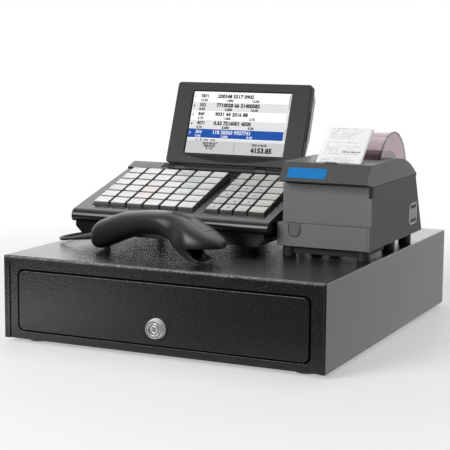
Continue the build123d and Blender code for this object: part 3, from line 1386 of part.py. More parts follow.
# ------------------------------------------------------------------ ribbed strain relief
with BuildPart() as strain_relief:
    with BuildSketch(relief_plane.offset(-relief_start_radius)):
        Circle(relief_neck_radius)
    extrude(amount=relief_start_radius + relief_start)
    with BuildSketch(relief_plane.offset(relief_start)):
        Circle(relief_start_radius)
    with BuildSketch(relief_plane.offset(relief_start + relief_length)):
        Circle(relief_end_radius)
    loft()
    rib_pitch = relief_length / (relief_ribs + 1)
    for rib in range(relief_ribs):
        share = (rib + 1) / (relief_ribs + 1)
        core = relief_start_radius + (relief_end_radius - relief_start_radius) * share
        with BuildSketch(relief_plane.offset(relief_start + rib_pitch * (rib + 0.75))):
            Circle(core + relief_rib_depth)
        extrude(amount=rib_pitch / 2)
save(strain_relief.part, "strain_relief")

# ------------------------------------------------------------------ lead from the scanner to the coil
relief_tip = relief_start + relief_length
rest_height = cord_radius + cord_rest_gap
route_out = [relief_plane.from_local_coords((0, 0, relief_tip)),
             relief_plane.from_local_coords((0, 0, relief_tip + 15))]
route_spots = ((-194.0, 110.0, 5.4), (-198.1, 117.0, 5.1), (-199.9, 129.0, 4.8), (-200.6, 151.0, 4.1),
               (-199.3, 187.0, 2.9), (-194.3, 234.6, rest_height), (-186.5, 279.0, rest_height),
               (-174.6, 323.6, rest_height), (-158.1, 364.4, rest_height), (-133.5, 396.5, rest_height),
               (-107.0, 415.9, rest_height), (-82.0, 423.1, rest_height))
route_out += [Vector(x, depth(distance), above(height)) for x, distance, height in route_spots]
coil_turn = coil_mid_radius + cord_radius
route_out.append(Vector(coil_centre[0], depth(coil_centre[1] + coil_turn), above(rest_height)))
top_layer = rest_height + (coil_layers - 1) * 2 * cord_radius
plug_z = board_height - (socket_height - board_thickness) / 2
plug_tail = lower_case_rear + 0.4 + plug_length + plug_tail_length
route_in = [Vector(plug_x, depth(distance), above(height)) for distance, height in
            ((coil_centre[1], top_layer), (coil_centre[1] - 13.0, top_layer), (plug_tail + 12.0, plug_z),
             (plug_tail, plug_z))]


def cord_tube(route, name):
    """Tube along straight runs joined by arcs as large as the runs allow; returns the solid."""
    runs = [end - start for start, end in zip(route, route[1:])]
    radii = []
    for before, after in zip(runs, runs[1:]):
        half_turn = math.radians(before.get_angle(after)) / 2
        radii.append(0.45 * min(before.length, after.length) / math.tan(half_turn))
    with BuildPart() as tube:
        with BuildLine() as path:
            centre_line = FilletPolyline(*route, radius=radii)
        with BuildSketch(Plane(origin=centre_line @ 0, z_dir=centre_line % 0)):
            Circle(cord_radius)
        sweep()
    length = centre_line.length
    print(name, "runs", [round(run.length) for run in runs], "radii", [round(radius) for radius in radii])
    print(name, "length", round(length, 1),
          "volume ratio", tube.part.volume / (math.pi * cord_radius ** 2 * length))
    return tube.part


with BuildPart() as scanner_cord:
    add(cord_tube(route_out, "outer lead"))
    add(cord_tube(route_in, "plug lead"))
save(scanner_cord.part, "scanner_cord")

# ------------------------------------------------------------------ put-away coil, as one ring
with BuildPart() as scanner_cord_coil:
    with BuildSketch(Plane.XY.offset(above(cord_rest_gap))):
        with Locations((coil_centre[0], depth(coil_centre[1]))):
            Circle(coil_mid_radius + 2 * cord_radius)
            Circle(coil_mid_radius - 2 * cord_radius, mode=Mode.SUBTRACT)
    extrude(amount=2 * coil_layers * cord_radius)
save(scanner_cord_coil.part, "scanner_cord_coil")
coil_length = 2 * coil_layers * math.tau * coil_mid_radius
print("coil length", round(coil_length))

# ------------------------------------------------------------------ plug in the terminal's socket
with BuildPart() as scanner_plug:
    grip_front = lower_case_rear + 0.4
    with BuildSketch(Plane.XZ.offset(-depth(grip_front - plug_nose_length))):
        with Locations((plug_x, above(plug_z))):
            Rectangle(socket_width - 3.0 - 2 * plug_clearance,
                      socket_height - board_thickness - 2.4 - 2 * plug_clearance)
    extrude(amount=-plug_nose_length)
    with BuildSketch(Plane.XZ.offset(-depth(grip_front))):
        with Locations((plug_x, above(plug_z))):
            RectangleRounded(plug_width, plug_height, 1.5)
    extrude(amount=-plug_length)
    with BuildSketch(Plane.XZ.offset(-depth(grip_front + plug_length))):
        with Locations((plug_x, above(plug_z))):
            Circle(plug_tail_radius)
    extrude(amount=-plug_tail_length)
save(scanner_plug.part, "scanner_plug")
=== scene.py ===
"""Counter till set: cash drawer, keyboard terminal with display, receipt printer and hand scanner."""
import json
import logging
import math
from collections.abc import Callable
from dataclasses import dataclass
from enum import Enum

import bmesh
import bpy
import numpy as np
from mathutils import Matrix, Vector

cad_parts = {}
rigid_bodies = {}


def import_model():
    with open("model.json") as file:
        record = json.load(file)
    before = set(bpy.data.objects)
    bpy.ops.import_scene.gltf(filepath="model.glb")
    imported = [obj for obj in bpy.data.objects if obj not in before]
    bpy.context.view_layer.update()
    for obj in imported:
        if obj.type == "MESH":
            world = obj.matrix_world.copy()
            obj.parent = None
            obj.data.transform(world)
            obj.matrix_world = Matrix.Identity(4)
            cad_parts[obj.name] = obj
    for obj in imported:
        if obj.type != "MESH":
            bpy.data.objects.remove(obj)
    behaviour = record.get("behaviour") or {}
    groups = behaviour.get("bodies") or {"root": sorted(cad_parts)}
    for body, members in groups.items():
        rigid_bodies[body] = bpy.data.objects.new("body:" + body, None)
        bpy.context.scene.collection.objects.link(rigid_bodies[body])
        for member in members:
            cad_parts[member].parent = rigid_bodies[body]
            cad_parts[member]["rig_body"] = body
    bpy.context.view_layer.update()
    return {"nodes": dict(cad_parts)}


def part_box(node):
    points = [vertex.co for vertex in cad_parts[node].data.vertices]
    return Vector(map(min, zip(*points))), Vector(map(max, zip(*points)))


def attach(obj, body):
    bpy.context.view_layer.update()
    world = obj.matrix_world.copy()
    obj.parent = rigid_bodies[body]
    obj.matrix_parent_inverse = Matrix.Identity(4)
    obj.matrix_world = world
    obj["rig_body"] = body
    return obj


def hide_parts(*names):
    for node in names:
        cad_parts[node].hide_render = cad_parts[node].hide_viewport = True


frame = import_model()
NODES = frame["nodes"]
log = logging.getLogger("till_set")
MM = 0.001
WELD = 0.000002  # metres within which the corners of CAD triangles are one
FLAT = 0.5  # degrees within which neighbouring CAD triangles are one face
CASE_FRONT = -222.6  # y of the case's front face in millimetres
DRAWER_TOP = 105.0  # z of the drawer's top in millimetres
BACK = (0.0, 1.0, 0.0)
UP = (0.0, 0.0, 1.0)
SHARP = 32.0  # edges of refined pieces sharper than this many degrees stay sharp
ROUND = 48  # steps round a turned ring


# ---------------------------------------------------------------- shader graphs
def opaque(value: object) -> object:
    """Give a plain colour its fourth part; anything else is returned as it is."""
    return (*value, 1.0) if isinstance(value, tuple) and len(value) == 3 else value


def scaled(colour: tuple, factor: float) -> tuple:
    """A colour with each part times the factor, 1 at most."""
    return tuple(min(part * factor, 1.0) for part in colour)


def operator(operation: str, swapped: bool = False) -> Callable[["Wire", object], "Wire"]:
    """A method that adds one Math node, with the wire second where it is swapped."""
    def method(wire: "Wire", other: object) -> "Wire":
        """Add the node."""
        return Wire(wire.graph, other).math(operation, wire) if swapped else wire.math(operation, other)
    return method


class Wire:
    """One shader socket, or one plain number, whose operators add Math nodes.

    above and below are 1 where the wire is greater or less than the other value, else 0.
    """

    def __init__(self, graph: "Graph", value: object) -> None:
        """Keep the graph that new nodes go into, and the socket or number itself."""
        self.graph = graph
        self.value = value

    def math(self, operation: str, *others: object, clamp: bool = False) -> "Wire":
        """Add a Math node with this wire first and return its result."""
        inputs = dict(enumerate((self, *others)))
        return self.graph.node("ShaderNodeMath", {"operation": operation, "use_clamp": clamp}, inputs)

    __add__ = __radd__ = operator("ADD")
    __mul__ = __rmul__ = operator("MULTIPLY")
    __sub__ = operator("SUBTRACT")
    __rsub__ = operator("SUBTRACT", swapped=True)
    __truediv__ = operator("DIVIDE")
    above = operator("GREATER_THAN")
    below = operator("LESS_THAN")
    larger = operator("MAXIMUM")

    def ramp(self, low: float, high: float) -> "Wire":
        """0 at the low value, 1 at the high one, straight between and clamped outside."""
        return ((self - low) / (high - low)).math("ADD", 0.0, clamp=True)


class Graph:
    """A material whose nodes are added through one method."""

    def __init__(self, name: str, world: bool = False) -> None:
        """Start an empty node tree with only its output, for a material or for the world."""
        self.material = (bpy.data.worlds if world else bpy.data.materials).new(name)
        self.material.use_nodes = True
        self.tree = self.material.node_tree
        self.tree.nodes.clear()
        self.output = self.tree.nodes.new("ShaderNodeOutputWorld" if world else "ShaderNodeOutputMaterial")

    def node(self, kind: str, settings: dict | None = None, inputs: dict | None = None,
             output: int | str = 0) -> Wire:
        """Add a node of any kind.

        Args:
            kind: Blender's node type.
            settings: attributes set on the node first.
            inputs: values or wires by socket name or number.
            output: the socket that is returned.

        Returns:
            The wire from that output.
        """
        made = self.tree.nodes.new(kind)
        for key, value in (settings or {}).items():
            setattr(made, key, value)
        for key, value in (inputs or {}).items():
            value = value.value if isinstance(value, Wire) else value
            if isinstance(value, bpy.types.NodeSocket):
                self.tree.links.new(value, made.inputs[key])
            else:
                made.inputs[key].default_value = value
        return Wire(self, made.outputs[output])

    def mix(self, factor: object, first: object, second: object) -> Wire:
        """Blend two colours."""
        inputs = {0: factor, 6: opaque(first), 7: opaque(second)}
        return self.node("ShaderNodeMix", {"data_type": "RGBA"}, inputs, 2)

    def ray(self, kind: str) -> Wire:
        """1 for rays of one kind, such as Camera, else 0."""
        return self.node("ShaderNodeLightPath", output=f"Is {kind} Ray")

    def place(self) -> Wire:
        """The object coordinates of the shaded point, in metres."""
        return self.node("ShaderNodeTexCoord", output="Object")

    def split(self, vector: Wire) -> tuple[Wire, Wire, Wire]:
        """The three parts of a vector."""
        made = self.node("ShaderNodeSeparateXYZ", None, {0: vector})
        return tuple(Wire(self, made.value.node.outputs[axis]) for axis in range(3))

    def noise(self, scale: float, detail: float = 2.0, rough: float = 0.5,
              vector: Wire | None = None) -> Wire:
        """Grey noise from 0 to 1, on object coordinates unless a vector is given."""
        inputs = {"Scale": scale, "Detail": detail, "Roughness": rough, "Vector": vector or self.place()}
        return self.node("ShaderNodeTexNoise", None, inputs, "Fac")

    def row_noise(self, across: Wire, row: Wire, detail: float) -> Wire:
        """Grey noise along a printed row, different on each row."""
        spot = self.node("ShaderNodeCombineXYZ", None, {0: across, 1: row, 2: 0.0})
        return self.noise(1.0, detail, 0.5, spot)

    def bump(self, height: Wire, distance: float) -> Wire:
        """A bumped normal; distance is the relief in metres."""
        return self.node("ShaderNodeBump", None, {"Strength": 1.0, "Distance": distance, "Height": height})

    def principled(self, **sockets: object) -> Wire:
        """A Principled shader; socket names use _ for a space."""
        named = {key.replace("_", " "): opaque(value) for key, value in sockets.items()}
        return self.node("ShaderNodeBsdfPrincipled", None, named)

    def light(self, kind: str, strength: Wire) -> Wire:
        """A white shader that gives light."""
        return self.node(kind, None, {"Color": (1.0, 1.0, 1.0, 1.0), "Strength": strength})

    def finish(self, shader: Wire) -> bpy.types.Material:
        """Join a shader to the output and return what the graph was made for."""
        self.tree.links.new(shader.value, self.output.inputs["Surface"])
        return self.material

    def surface(self, **sockets: object) -> bpy.types.Material:
        """Finish with a Principled shader."""
        return self.finish(self.principled(**sockets))

    def seen_rays(self) -> Wire:
        """1 for rays from the camera, a mirror or clear plastic, else 0."""
        return self.ray("Camera").larger(self.ray("Glossy")).larger(self.ray("Transmission"))


@dataclass(frozen=True)
class Moulded:
    """Moulded plastic: a colour with slow drift, a fine spark-eroded grain and uneven gloss."""
    name: str
    colour: tuple
    roughness: float = 0.45
    grain: float = 2200.0
    relief: float = 0.00002
    coat: float = 0.0
    specular: float = 0.5

    def build(self) -> bpy.types.Material:
        """Make the material."""
        graph = Graph(self.name)
        drift = graph.noise(14.0, 3.0)
        fine = graph.noise(self.grain, 2.0, 0.6)
        colour = graph.mix(drift * 0.8 + fine * 0.2, scaled(self.colour, 0.88), scaled(self.colour, 1.1))
        gloss = self.roughness + (drift - 0.5) * 0.1 + (fine - 0.5) * 0.08
        return graph.surface(Base_Color=colour, Roughness=gloss, Coat_Weight=self.coat, Coat_Roughness=0.15,
                             Specular_IOR_Level=self.specular, Normal=graph.bump(fine, self.relief))


@dataclass(frozen=True)
class PowderCoat:
    """Powder coat: orange-peel relief with finer pits, and paler specks that are grain and painted glints."""
    name: str
    colour: tuple = (0.005, 0.005, 0.0055)
    roughness: float = 0.24
    peel: float = 390.0
    relief: float = 0.00055
    # Paler colour of the specks: grain, and painted glints.
    grain: tuple = (0.014, 0.014, 0.0147)

    def build(self) -> bpy.types.Material:
        """Make the material."""
        graph = Graph(self.name)
        peel = graph.noise(self.peel, 1.0, 0.4)
        pits = graph.noise(self.peel * 2.6, 2.0, 0.6)
        drift = graph.noise(9.0, 2.0)
        # Paler specks on a noise of their own: grain, and painted glints.
        grain_and_painted_glints = graph.noise(self.peel * 1.35, 1.0).ramp(0.5, 0.7)
        colour = graph.mix(pits, scaled(self.colour, 0.7), scaled(self.colour, 1.6))
        gloss = self.roughness + (drift - 0.5) * 0.06 + (pits - 0.5) * 0.12
        return graph.surface(Base_Color=graph.mix(grain_and_painted_glints, colour, self.grain), Roughness=gloss,
                             Specular_IOR_Level=0.4, Normal=graph.bump(peel * 0.6 + pits * 0.4, self.relief))


@dataclass(frozen=True)
class Metal:
    """Bare or plated metal with faint turning or rolling lines."""
    name: str
    colour: tuple = (0.78, 0.78, 0.79)
    roughness: float = 0.22
    relief: float = 0.000006
    metallic: float = 1.0

    def build(self) -> bpy.types.Material:
        """Make the material."""
        graph = Graph(self.name)
        lines = graph.noise(900.0, 3.0, 0.7)
        drift = graph.noise(30.0, 2.0)
        return graph.surface(Base_Color=graph.mix(drift, scaled(self.colour, 0.9), self.colour),
                             Metallic=self.metallic, Roughness=self.roughness + (lines - 0.5) * 0.1,
                             Normal=graph.bump(lines, self.relief))


@dataclass(frozen=True)
class Smoked:
    """Clear smoked plastic, seen through with a violet cast and a glossy face."""
    name: str
    colour: tuple = (0.55, 0.435, 0.485)

    def build(self) -> bpy.types.Material:
        """Make the material; the tint drifts a little and the face is hazed by fine scratches."""
        graph = Graph(self.name)
        haze = graph.noise(60.0, 3.0)
        tint = graph.mix(haze, scaled(self.colour, 0.94), self.colour)
        return graph.surface(Base_Color=tint, Roughness=0.02 + haze * 0.04, Transmission_Weight=1.0, IOR=1.45)


@dataclass(frozen=True)
class Lit:
    """A screen colour that gives its own light."""
    name: str
    colour: tuple
    glow: float = 0.95

    def build(self) -> bpy.types.Material:
        """Make the material; a faint backlight unevenness keeps it from being flat."""
        graph = Graph(self.name)
        colour = graph.mix(graph.noise(18.0, 1.0), scaled(self.colour, 0.94), self.colour)
        return graph.surface(Base_Color=scaled(self.colour, 0.1), Roughness=0.6, Specular_IOR_Level=0.06,
                             Emission_Color=colour, Emission_Strength=self.glow)


@dataclass(frozen=True)
class Paper:
    """Thermal paper: white with fibre mottling and, where wanted, grey printed rows on its UV map."""
    name: str
    colour: tuple = (0.80, 0.80, 0.80)
    rows: float = 0.0
    ink: tuple = (0.12, 0.12, 0.13)

    def build(self) -> bpy.types.Material:
        """Make the material."""
        graph = Graph(self.name)
        fibre = graph.noise(1500.0, 3.0, 0.6)
        colour = graph.mix(fibre, scaled(self.colour, 0.93), self.colour)
        if self.rows:
            colour = graph.mix(self.printing(graph), colour, self.ink)
        return graph.surface(Base_Color=colour, Roughness=0.8, Normal=graph.bump(fibre, 0.00001))

    def printing(self, graph: Graph) -> Wire:
        """How much ink lies on the paper.

        A row is short dashes of fine noise, broken into words by coarser noise, empty at the margins. A seed
        of its own gives its length and leaves one in five blank. One bold total stands half way along.
        """
        across, along, _ = graph.split(graph.node("ShaderNodeUVMap", {"uv_map": "sheet"}))
        row = along * self.rows
        phase, number = row.math("FRACT"), row.math("FLOOR")
        seed = graph.node("ShaderNodeTexWhiteNoise", {"noise_dimensions": "1D"}, {"W": number + 3.0}, "Value")
        dashes = graph.row_noise(across * 60.0, number * 7.3, 2.0)
        words = graph.row_noise(across * 9.0, number * 3.1, 0.0)
        total = along.above(0.47) * along.below(0.5) * across.above(0.5) * across.below(0.9)
        inside = across.above(0.09) * across.below(0.55 + seed * 0.36)
        body = phase.above(0.3) * phase.below(0.72)
        ink = dashes.ramp(0.42, 0.5) * words.ramp(0.36, 0.44) * inside * body * seed.above(0.2)
        return (ink * 0.5).larger(total * dashes.ramp(0.38, 0.46) * 0.85)


@dataclass(frozen=True)
class KeyCap:
    """Keycap plastic: each cap's own tint comes from the piece's tint attribute.

    The attribute also holds the painted shade down the caps' sides.
    """
    name: str
    roughness: float = 0.32
    haze: tuple = (0.35, 0.33, 0.3)

    def build(self) -> bpy.types.Material:
        """Make the material."""
        graph = Graph(self.name)
        tint = graph.node("ShaderNodeAttribute", {"attribute_name": "tint"}, None, "Color")
        fine = graph.noise(1800.0, 2.0, 0.5)
        return graph.surface(Base_Color=graph.mix(fine * 0.12, tint, self.haze),
                             Roughness=self.roughness + (fine - 0.5) * 0.08, Coat_Weight=0.25,
                             Coat_Roughness=0.12, Normal=graph.bump(fine, 0.000008))


class Finish(Enum):
    """Every finish on the set."""
    CASE = PowderCoat("black_powder_coat")
    # A paler, speckled coat for the top fold: painted highlight.
    FOLD_PAINTED_HIGHLIGHT = PowderCoat("fold_painted_highlight", (0.03, 0.03, 0.031), 0.2, grain=(0.15, 0.15, 0.155))
    INNER = PowderCoat("tray_powder_coat", (0.02, 0.02, 0.021), 0.4)
    CHROME = Metal("polished_chrome", (0.62, 0.62, 0.63), 0.2, metallic=0.85)
    ZINC = Metal("zinc_plate", (0.6, 0.6, 0.58), 0.32)
    # Near white and barely metallic: painted highlight on the lock's outer side.
    NICKEL_PAINTED_HIGHLIGHT = Metal("nickel_painted_highlight", (1.0, 1.0, 1.0), 0.3, metallic=0.15)
    RUBBER = Moulded("black_rubber", (0.012, 0.012, 0.012), 0.7)
    INSERT = Moulded("insert_plastic", (0.02, 0.02, 0.022), 0.5)
    TERMINAL = Moulded("terminal_plastic", (0.006, 0.006, 0.0064), 0.2, specular=0.3)
    BEZEL = Moulded("bezel_plastic", (0.026, 0.026, 0.0265), 0.4, specular=0.13)
    # Darker than the bezel: painted shade in the crescent under the screen.
    BEZEL_PAINTED_SHADE = Moulded("bezel_crescent_painted_shade", (0.007, 0.007, 0.0075), 0.5, specular=0.1)
    REAR = Moulded("pale_rear_plastic", (0.8, 0.795, 0.77), 0.45)
    KEYS = KeyCap("key_plastic")
    LEGEND = Moulded("legend_ink", (0.03, 0.03, 0.035), 0.5)
    SWITCH = Moulded("switch_plastic", (0.012, 0.012, 0.013), 0.5)
    BOARD = Moulded("solder_mask", (0.01, 0.09, 0.03), 0.35)
    PRINTER = Moulded("printer_plastic", (0.16, 0.163, 0.166), 0.55, specular=0.04)
    COVER = Moulded("cover_plastic", (0.05, 0.05, 0.0505), 0.4, specular=0.26)
    CONTROL = Moulded("control_plastic", (0.1, 0.1, 0.1), 0.4)
    SHADOW_GAP = Moulded("gap_black", (0.006, 0.006, 0.006), 0.7)
    ROCKER = Moulded("rocker_plastic", (0.16, 0.16, 0.16), 0.35)
    SWITCH_FRAME = Moulded("switch_frame_plastic", (0.62, 0.62, 0.6), 0.4)
    LABEL = Moulded("blue_label", (0.002, 0.15, 0.42), 0.35, specular=0.2)
    SMOKED = Smoked("smoked_dome")
    # Dark lines at the dome's ends: painted darkening where refraction makes the edges dark.
    DOME_EDGE_PAINTED_DARK = Moulded("smoked_edge_painted_dark", (0.055, 0.028, 0.04), 0.2, relief=0.0)
    # Dark grey paper for the roll: painted shade under the dome.
    ROLL_PAINTED_SHADE = Paper("roll_paper_painted_shade", (0.26, 0.25, 0.26))
    RECEIPT = Paper("printed_paper", rows=24.0)
    SCANNER_TOP = Moulded("scanner_top_plastic", (0.009, 0.009, 0.0095), 0.34, specular=0.34)
    SCANNER = Moulded("scanner_plastic", (0.006, 0.0066, 0.0066), 0.42, specular=0.3)
    WINDOW = Moulded("scan_window", (0.004, 0.004, 0.005), 0.08, relief=0.0, coat=1.0)
    LEAD = Moulded("lead_jacket", (0.012, 0.012, 0.012), 0.5)
    GLASS = Moulded("panel_glass", (0.008, 0.008, 0.009), 0.1, relief=0.0)
    SCREEN_WHITE = Lit("screen_white", (1.0, 1.0, 1.0), 1.0)
    SCREEN_PALE = Lit("screen_pale_row", (0.74, 0.75, 0.76))
    SCREEN_BLUE = Lit("screen_blue_row", (0.015, 0.085, 0.38))
    SCREEN_GREY = Lit("screen_grey_bar", (0.58, 0.58, 0.59))
    SCREEN_INK = Lit("screen_ink", (0.004, 0.004, 0.006), 0.6)
    SCREEN_LIGHT_INK = Lit("screen_light_ink", (0.75, 0.8, 0.95), 0.8)


MATERIALS: dict[Finish, bpy.types.Material] = {}


def material(finish: Finish) -> bpy.types.Material:
    """The material of a finish, built once."""
    if finish not in MATERIALS:
        MATERIALS[finish] = finish.value.build()
    return MATERIALS[finish]


# ---------------------------------------------------------------- mesh building
def linked(name: str, data: bpy.types.ID) -> bpy.types.Object:
    """A new object in the scene."""
    piece = bpy.data.objects.new(name, data)
    bpy.context.scene.collection.objects.link(piece)
    return piece


def grid_faces(rows: int, columns: int, wrap: bool = False) -> list:
    """Quads over a grid of points stored row by row; wrap joins the last column to the first."""
    row, column = np.meshgrid(np.arange(rows - 1), np.arange(columns if wrap else columns - 1), indexing="ij")
    following = (column + 1) % columns
    base = row * columns
    above = base + columns
    quads = np.stack([base + column, base + following, above + following, above + column], -1)
    return quads.reshape(-1, 4).tolist()


def dress(finish: Finish, *nodes: str) -> None:
    """Give carried-over CAD nodes a finish."""
    for node in nodes:
        mesh = NODES[node].data
        mesh.materials.clear()
        mesh.materials.append(material(finish))


def body_of(node: str) -> str:
    """The body that a CAD node rides on."""
    return NODES[node]["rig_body"]


def refined(node: str, finish: Finish, edge: float = 0.0, slot: str | None = None,
            segments: int = 2) -> bpy.types.Object:
    """A merged copy of a CAD node with smooth curved faces and, if wanted, softened edges.

    Args:
        node: the CAD node that the copy replaces.
        finish: its finish.
        edge: width in metres of the small bevel along sharp edges.
        slot: the record's material slot; not used.
        segments: bevel steps.

    Returns:
        The copy, riding on the node's body.
    """
    mesh = NODES[node].data.copy()
    mesh.name = node + "_skin"
    mesh.materials.clear()
    mesh.materials.append(material(finish))
    mesh.polygons.foreach_set("material_index", np.zeros(len(mesh.polygons), np.int32))
    piece = linked(node + "_skin", mesh)
    weld_and_dissolve(mesh)
    mesh.shade_smooth()
    mesh.set_sharp_from_angle(angle=math.radians(SHARP))
    soften(piece, edge, segments)
    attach(piece, body_of(node))
    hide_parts(node)
    log.info("%s: refined, %d faces", node, len(mesh.polygons))
    return piece


def refine_all(*rows: tuple) -> None:
    """Refine CAD nodes in turn; a row is what refined takes."""
    for row in rows:
        refined(*row)


def weld_and_dissolve(mesh: bpy.types.Mesh) -> None:
    """Merge a CAD mesh's loose triangles and join the flat ones."""
    work = bmesh.new()
    work.from_mesh(mesh)
    bmesh.ops.remove_doubles(work, verts=work.verts, dist=WELD)
    bmesh.ops.dissolve_limit(work, angle_limit=math.radians(FLAT), verts=work.verts, edges=work.edges,
                             use_dissolve_boundaries=False, delimit={"NORMAL"})
    work.to_mesh(mesh)
    work.free()
    mesh.update()


class Sculpt:
    """Collects surfaces of one piece and makes its mesh."""

    def __init__(self, name: str) -> None:
        """Start with no surface."""
        self.name = name
        self.points: list = []
        self.faces: list = []
        self.finishes: list = []
        self.marks: list = []
        self.tints: list = []
        self.count = 0

    def add(self, points: np.ndarray, faces: list, finish: Finish,
            tint: tuple | np.ndarray = (0.5, 0.5, 0.5)) -> None:
        """Add a surface in millimetres.

        Args:
            points: vertex places, one row each.
            faces: vertex numbers of each face, from 0.
            finish: the surface's finish.
            tint: colour stored on its vertices, one for all or one each.
        """
        self.points.append(np.asarray(points, float).reshape(-1, 3) * MM)
        self.faces += [[number + self.count for number in face] for face in faces]
        self.marks += [self.mark(finish)] * len(faces)
        self.tints += list(np.broadcast_to(np.asarray(tint, float), (len(self.points[-1]), 3)))
        self.count += len(self.points[-1])

    def mark(self, finish: Finish) -> int:
        """The number of a finish on this piece."""
        if finish not in self.finishes:
            self.finishes.append(finish)
        return self.finishes.index(finish)

    def recoat(self, faces: slice, finish: Finish) -> None:
        """Give some of the faces added so far another finish."""
        self.marks[faces] = [self.mark(finish)] * len(self.marks[faces])

    def skirt(self, upper: np.ndarray, lower: np.ndarray, finish: Finish) -> None:
        """Join the four edges of two grids of equal size, one below the other."""
        for pair in ((upper[0], lower[0]), (lower[-1], upper[-1]), (lower[:, 0], upper[:, 0]),
                     (upper[:, -1], lower[:, -1])):
            self.add(np.stack(pair), grid_faces(2, len(pair[0])), finish)

    def make(self, body: str, slot: str, replaces: tuple = (), smooth: float | None = 35.0,
             edge: float = 0.0) -> bpy.types.Object:
        """Make the piece.

        Args:
            body: the CAD body it rides on.
            slot: the record's material slot; not used.
            replaces: CAD nodes it stands for.
            smooth: edges sharper than this many degrees stay sharp; None keeps flat faces.
            edge: width in metres of a small bevel on them.

        Returns:
            The object.
        """
        mesh = bpy.data.meshes.new(self.name)
        mesh.from_pydata(np.vstack(self.points).tolist(), [], self.faces)
        for finish in self.finishes:
            mesh.materials.append(material(finish))
        mesh.polygons.foreach_set("material_index", np.asarray(self.marks, np.int32))
        mesh.update()
        if smooth is not None:
            mesh.shade_smooth()
            mesh.set_sharp_from_angle(angle=math.radians(smooth))
        piece = linked(self.name, mesh)
        tint = mesh.color_attributes.new("tint", "FLOAT_COLOR", "POINT")
        values = np.column_stack([np.asarray(self.tints, float), np.ones(self.count)])
        tint.data.foreach_set("color", values.astype(np.float32).ravel())
        if edge:
            soften(piece, edge)
        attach(piece, body)
        if replaces:
            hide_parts(*replaces)
        log.info("%s: %d faces on %s", self.name, len(self.faces), body)
        return piece


def plain(name: str, surfaces: list, finish: Finish, node: str, slot: str, **options: object) -> None:
    """Make a piece of one finish.

    Args:
        name: the piece's name.
        surfaces: its points and faces, a pair for each surface.
        finish: their finish.
        node: the CAD node whose body it rides on.
        slot: the record's material slot.
        options: what else Sculpt.make takes.
    """
    piece = Sculpt(name)
    for points, faces in surfaces:
        piece.add(points, faces, finish)
    piece.make(body_of(node), slot, **options)


def soften(piece: bpy.types.Object, edge: float, segments: int = 2) -> None:
    """Bevel a piece's sharp edges by a width in metres, if it isn't 0, and even out its normals."""
    if edge:
        bevel = piece.modifiers.new("soft_edges", "BEVEL")
        bevel.width = edge
        bevel.segments = segments
        bevel.limit_method = "ANGLE"
        bevel.angle_limit = math.radians(SHARP)
    even = piece.modifiers.new("even_normals", "WEIGHTED_NORMAL")
    even.keep_sharp = True


def rounded_outline(half_x: float, half_y: float, radius: float, steps: int) -> np.ndarray:
    """A rounded rectangle, anticlockwise: quarter arcs about four corners set in by the radius."""
    turn = np.radians(np.linspace(0, 90, steps + 1)[None, :] + np.arange(4)[:, None] * 90).ravel()
    sign_x = np.repeat([1.0, -1.0, -1.0, 1.0], steps + 1)
    sign_y = np.repeat([1.0, 1.0, -1.0, -1.0], steps + 1)
    return np.column_stack([sign_x * (half_x - radius) + radius * np.cos(turn),
                            sign_y * (half_y - radius) + radius * np.sin(turn)])


def eased(share: np.ndarray) -> np.ndarray:
    """A share clipped to 0 and 1, with level ends: 3 times its square less 2 times its cube."""
    share = np.clip(share, 0, 1)
    return share * share * (3 - 2 * share)


def closed_stack(rings: np.ndarray) -> tuple[np.ndarray, list]:
    """Join closed rings of equal length, given anticlockwise from below, with one face on each end."""
    layers, around = rings.shape[:2]
    faces = grid_faces(layers, around, wrap=True)
    faces.append(list(range(around))[::-1])
    faces.append([(layers - 1) * around + number for number in range(around)])
    return rings.reshape(-1, 3), faces


@dataclass(frozen=True)
class Plane:
    """A tilted plane in millimetres; its first direction is across unless another is given."""
    origin: tuple | np.ndarray
    up: tuple | np.ndarray
    across: tuple | np.ndarray = (1.0, 0.0, 0.0)

    def points(self, flat: np.ndarray, lift: float | np.ndarray) -> np.ndarray:
        """Points: the origin plus the two directions and the normal, each times its measure."""
        across, up = np.asarray(self.across, float), np.asarray(self.up, float)
        base = np.asarray(self.origin) + flat[:, :1] * across + flat[:, 1:2] * up
        return base + np.cross(across, up) * lift

    def stack(self, flat: np.ndarray, thick: tuple) -> tuple[np.ndarray, list]:
        """A plate over an outline, between two offsets along the normal."""
        return closed_stack(np.stack([self.points(flat, offset) for offset in thick]))

    def slab(self, size: tuple, start: tuple, thick: tuple, radius: float = 0.0) -> tuple[np.ndarray, list]:
        """A flat plate with square or rounded corners.

        Args:
            size: width and length.
            start: the plate's low corner.
            thick: lowest and highest offset along the normal.
            radius: corner radius.

        Returns:
            Points and faces.
        """
        half = np.asarray(size, float) / 2
        outline = rounded_outline(half[0], half[1], max(radius, 0.001), 4 if radius else 1)
        return self.stack(outline + half + np.asarray(start, float), thick)

    def lettered(self, text: str, size: float, place: tuple, lift: float, align: str = "LEFT",
                 bold: float = 0.025) -> tuple[np.ndarray, list]:
        """Flat figures.

        Args:
            text: figures and points only.
            size: their height scale in millimetres.
            place: where the text starts, or is centred.
            lift: offset along the normal.
            align: LEFT, CENTER or RIGHT.
            bold: how far the strokes swell, as a share of the size.

        Returns:
            Points and faces.
        """
        curve = bpy.data.curves.new("figures", "FONT")
        curve.body = text
        curve.size = size
        curve.align_x = align
        curve.offset = bold * size
        curve.resolution_u = 2
        holder = bpy.data.objects.new("figures", curve)
        mesh = bpy.data.meshes.new_from_object(holder)
        flat = np.zeros(len(mesh.vertices) * 3)
        mesh.vertices.foreach_get("co", flat)
        faces = [list(polygon.vertices) for polygon in mesh.polygons]
        bpy.data.objects.remove(holder)
        bpy.data.curves.remove(curve)
        bpy.data.meshes.remove(mesh)
        return self.points(flat.reshape(-1, 3)[:, :2] + np.asarray(place, float), lift), faces


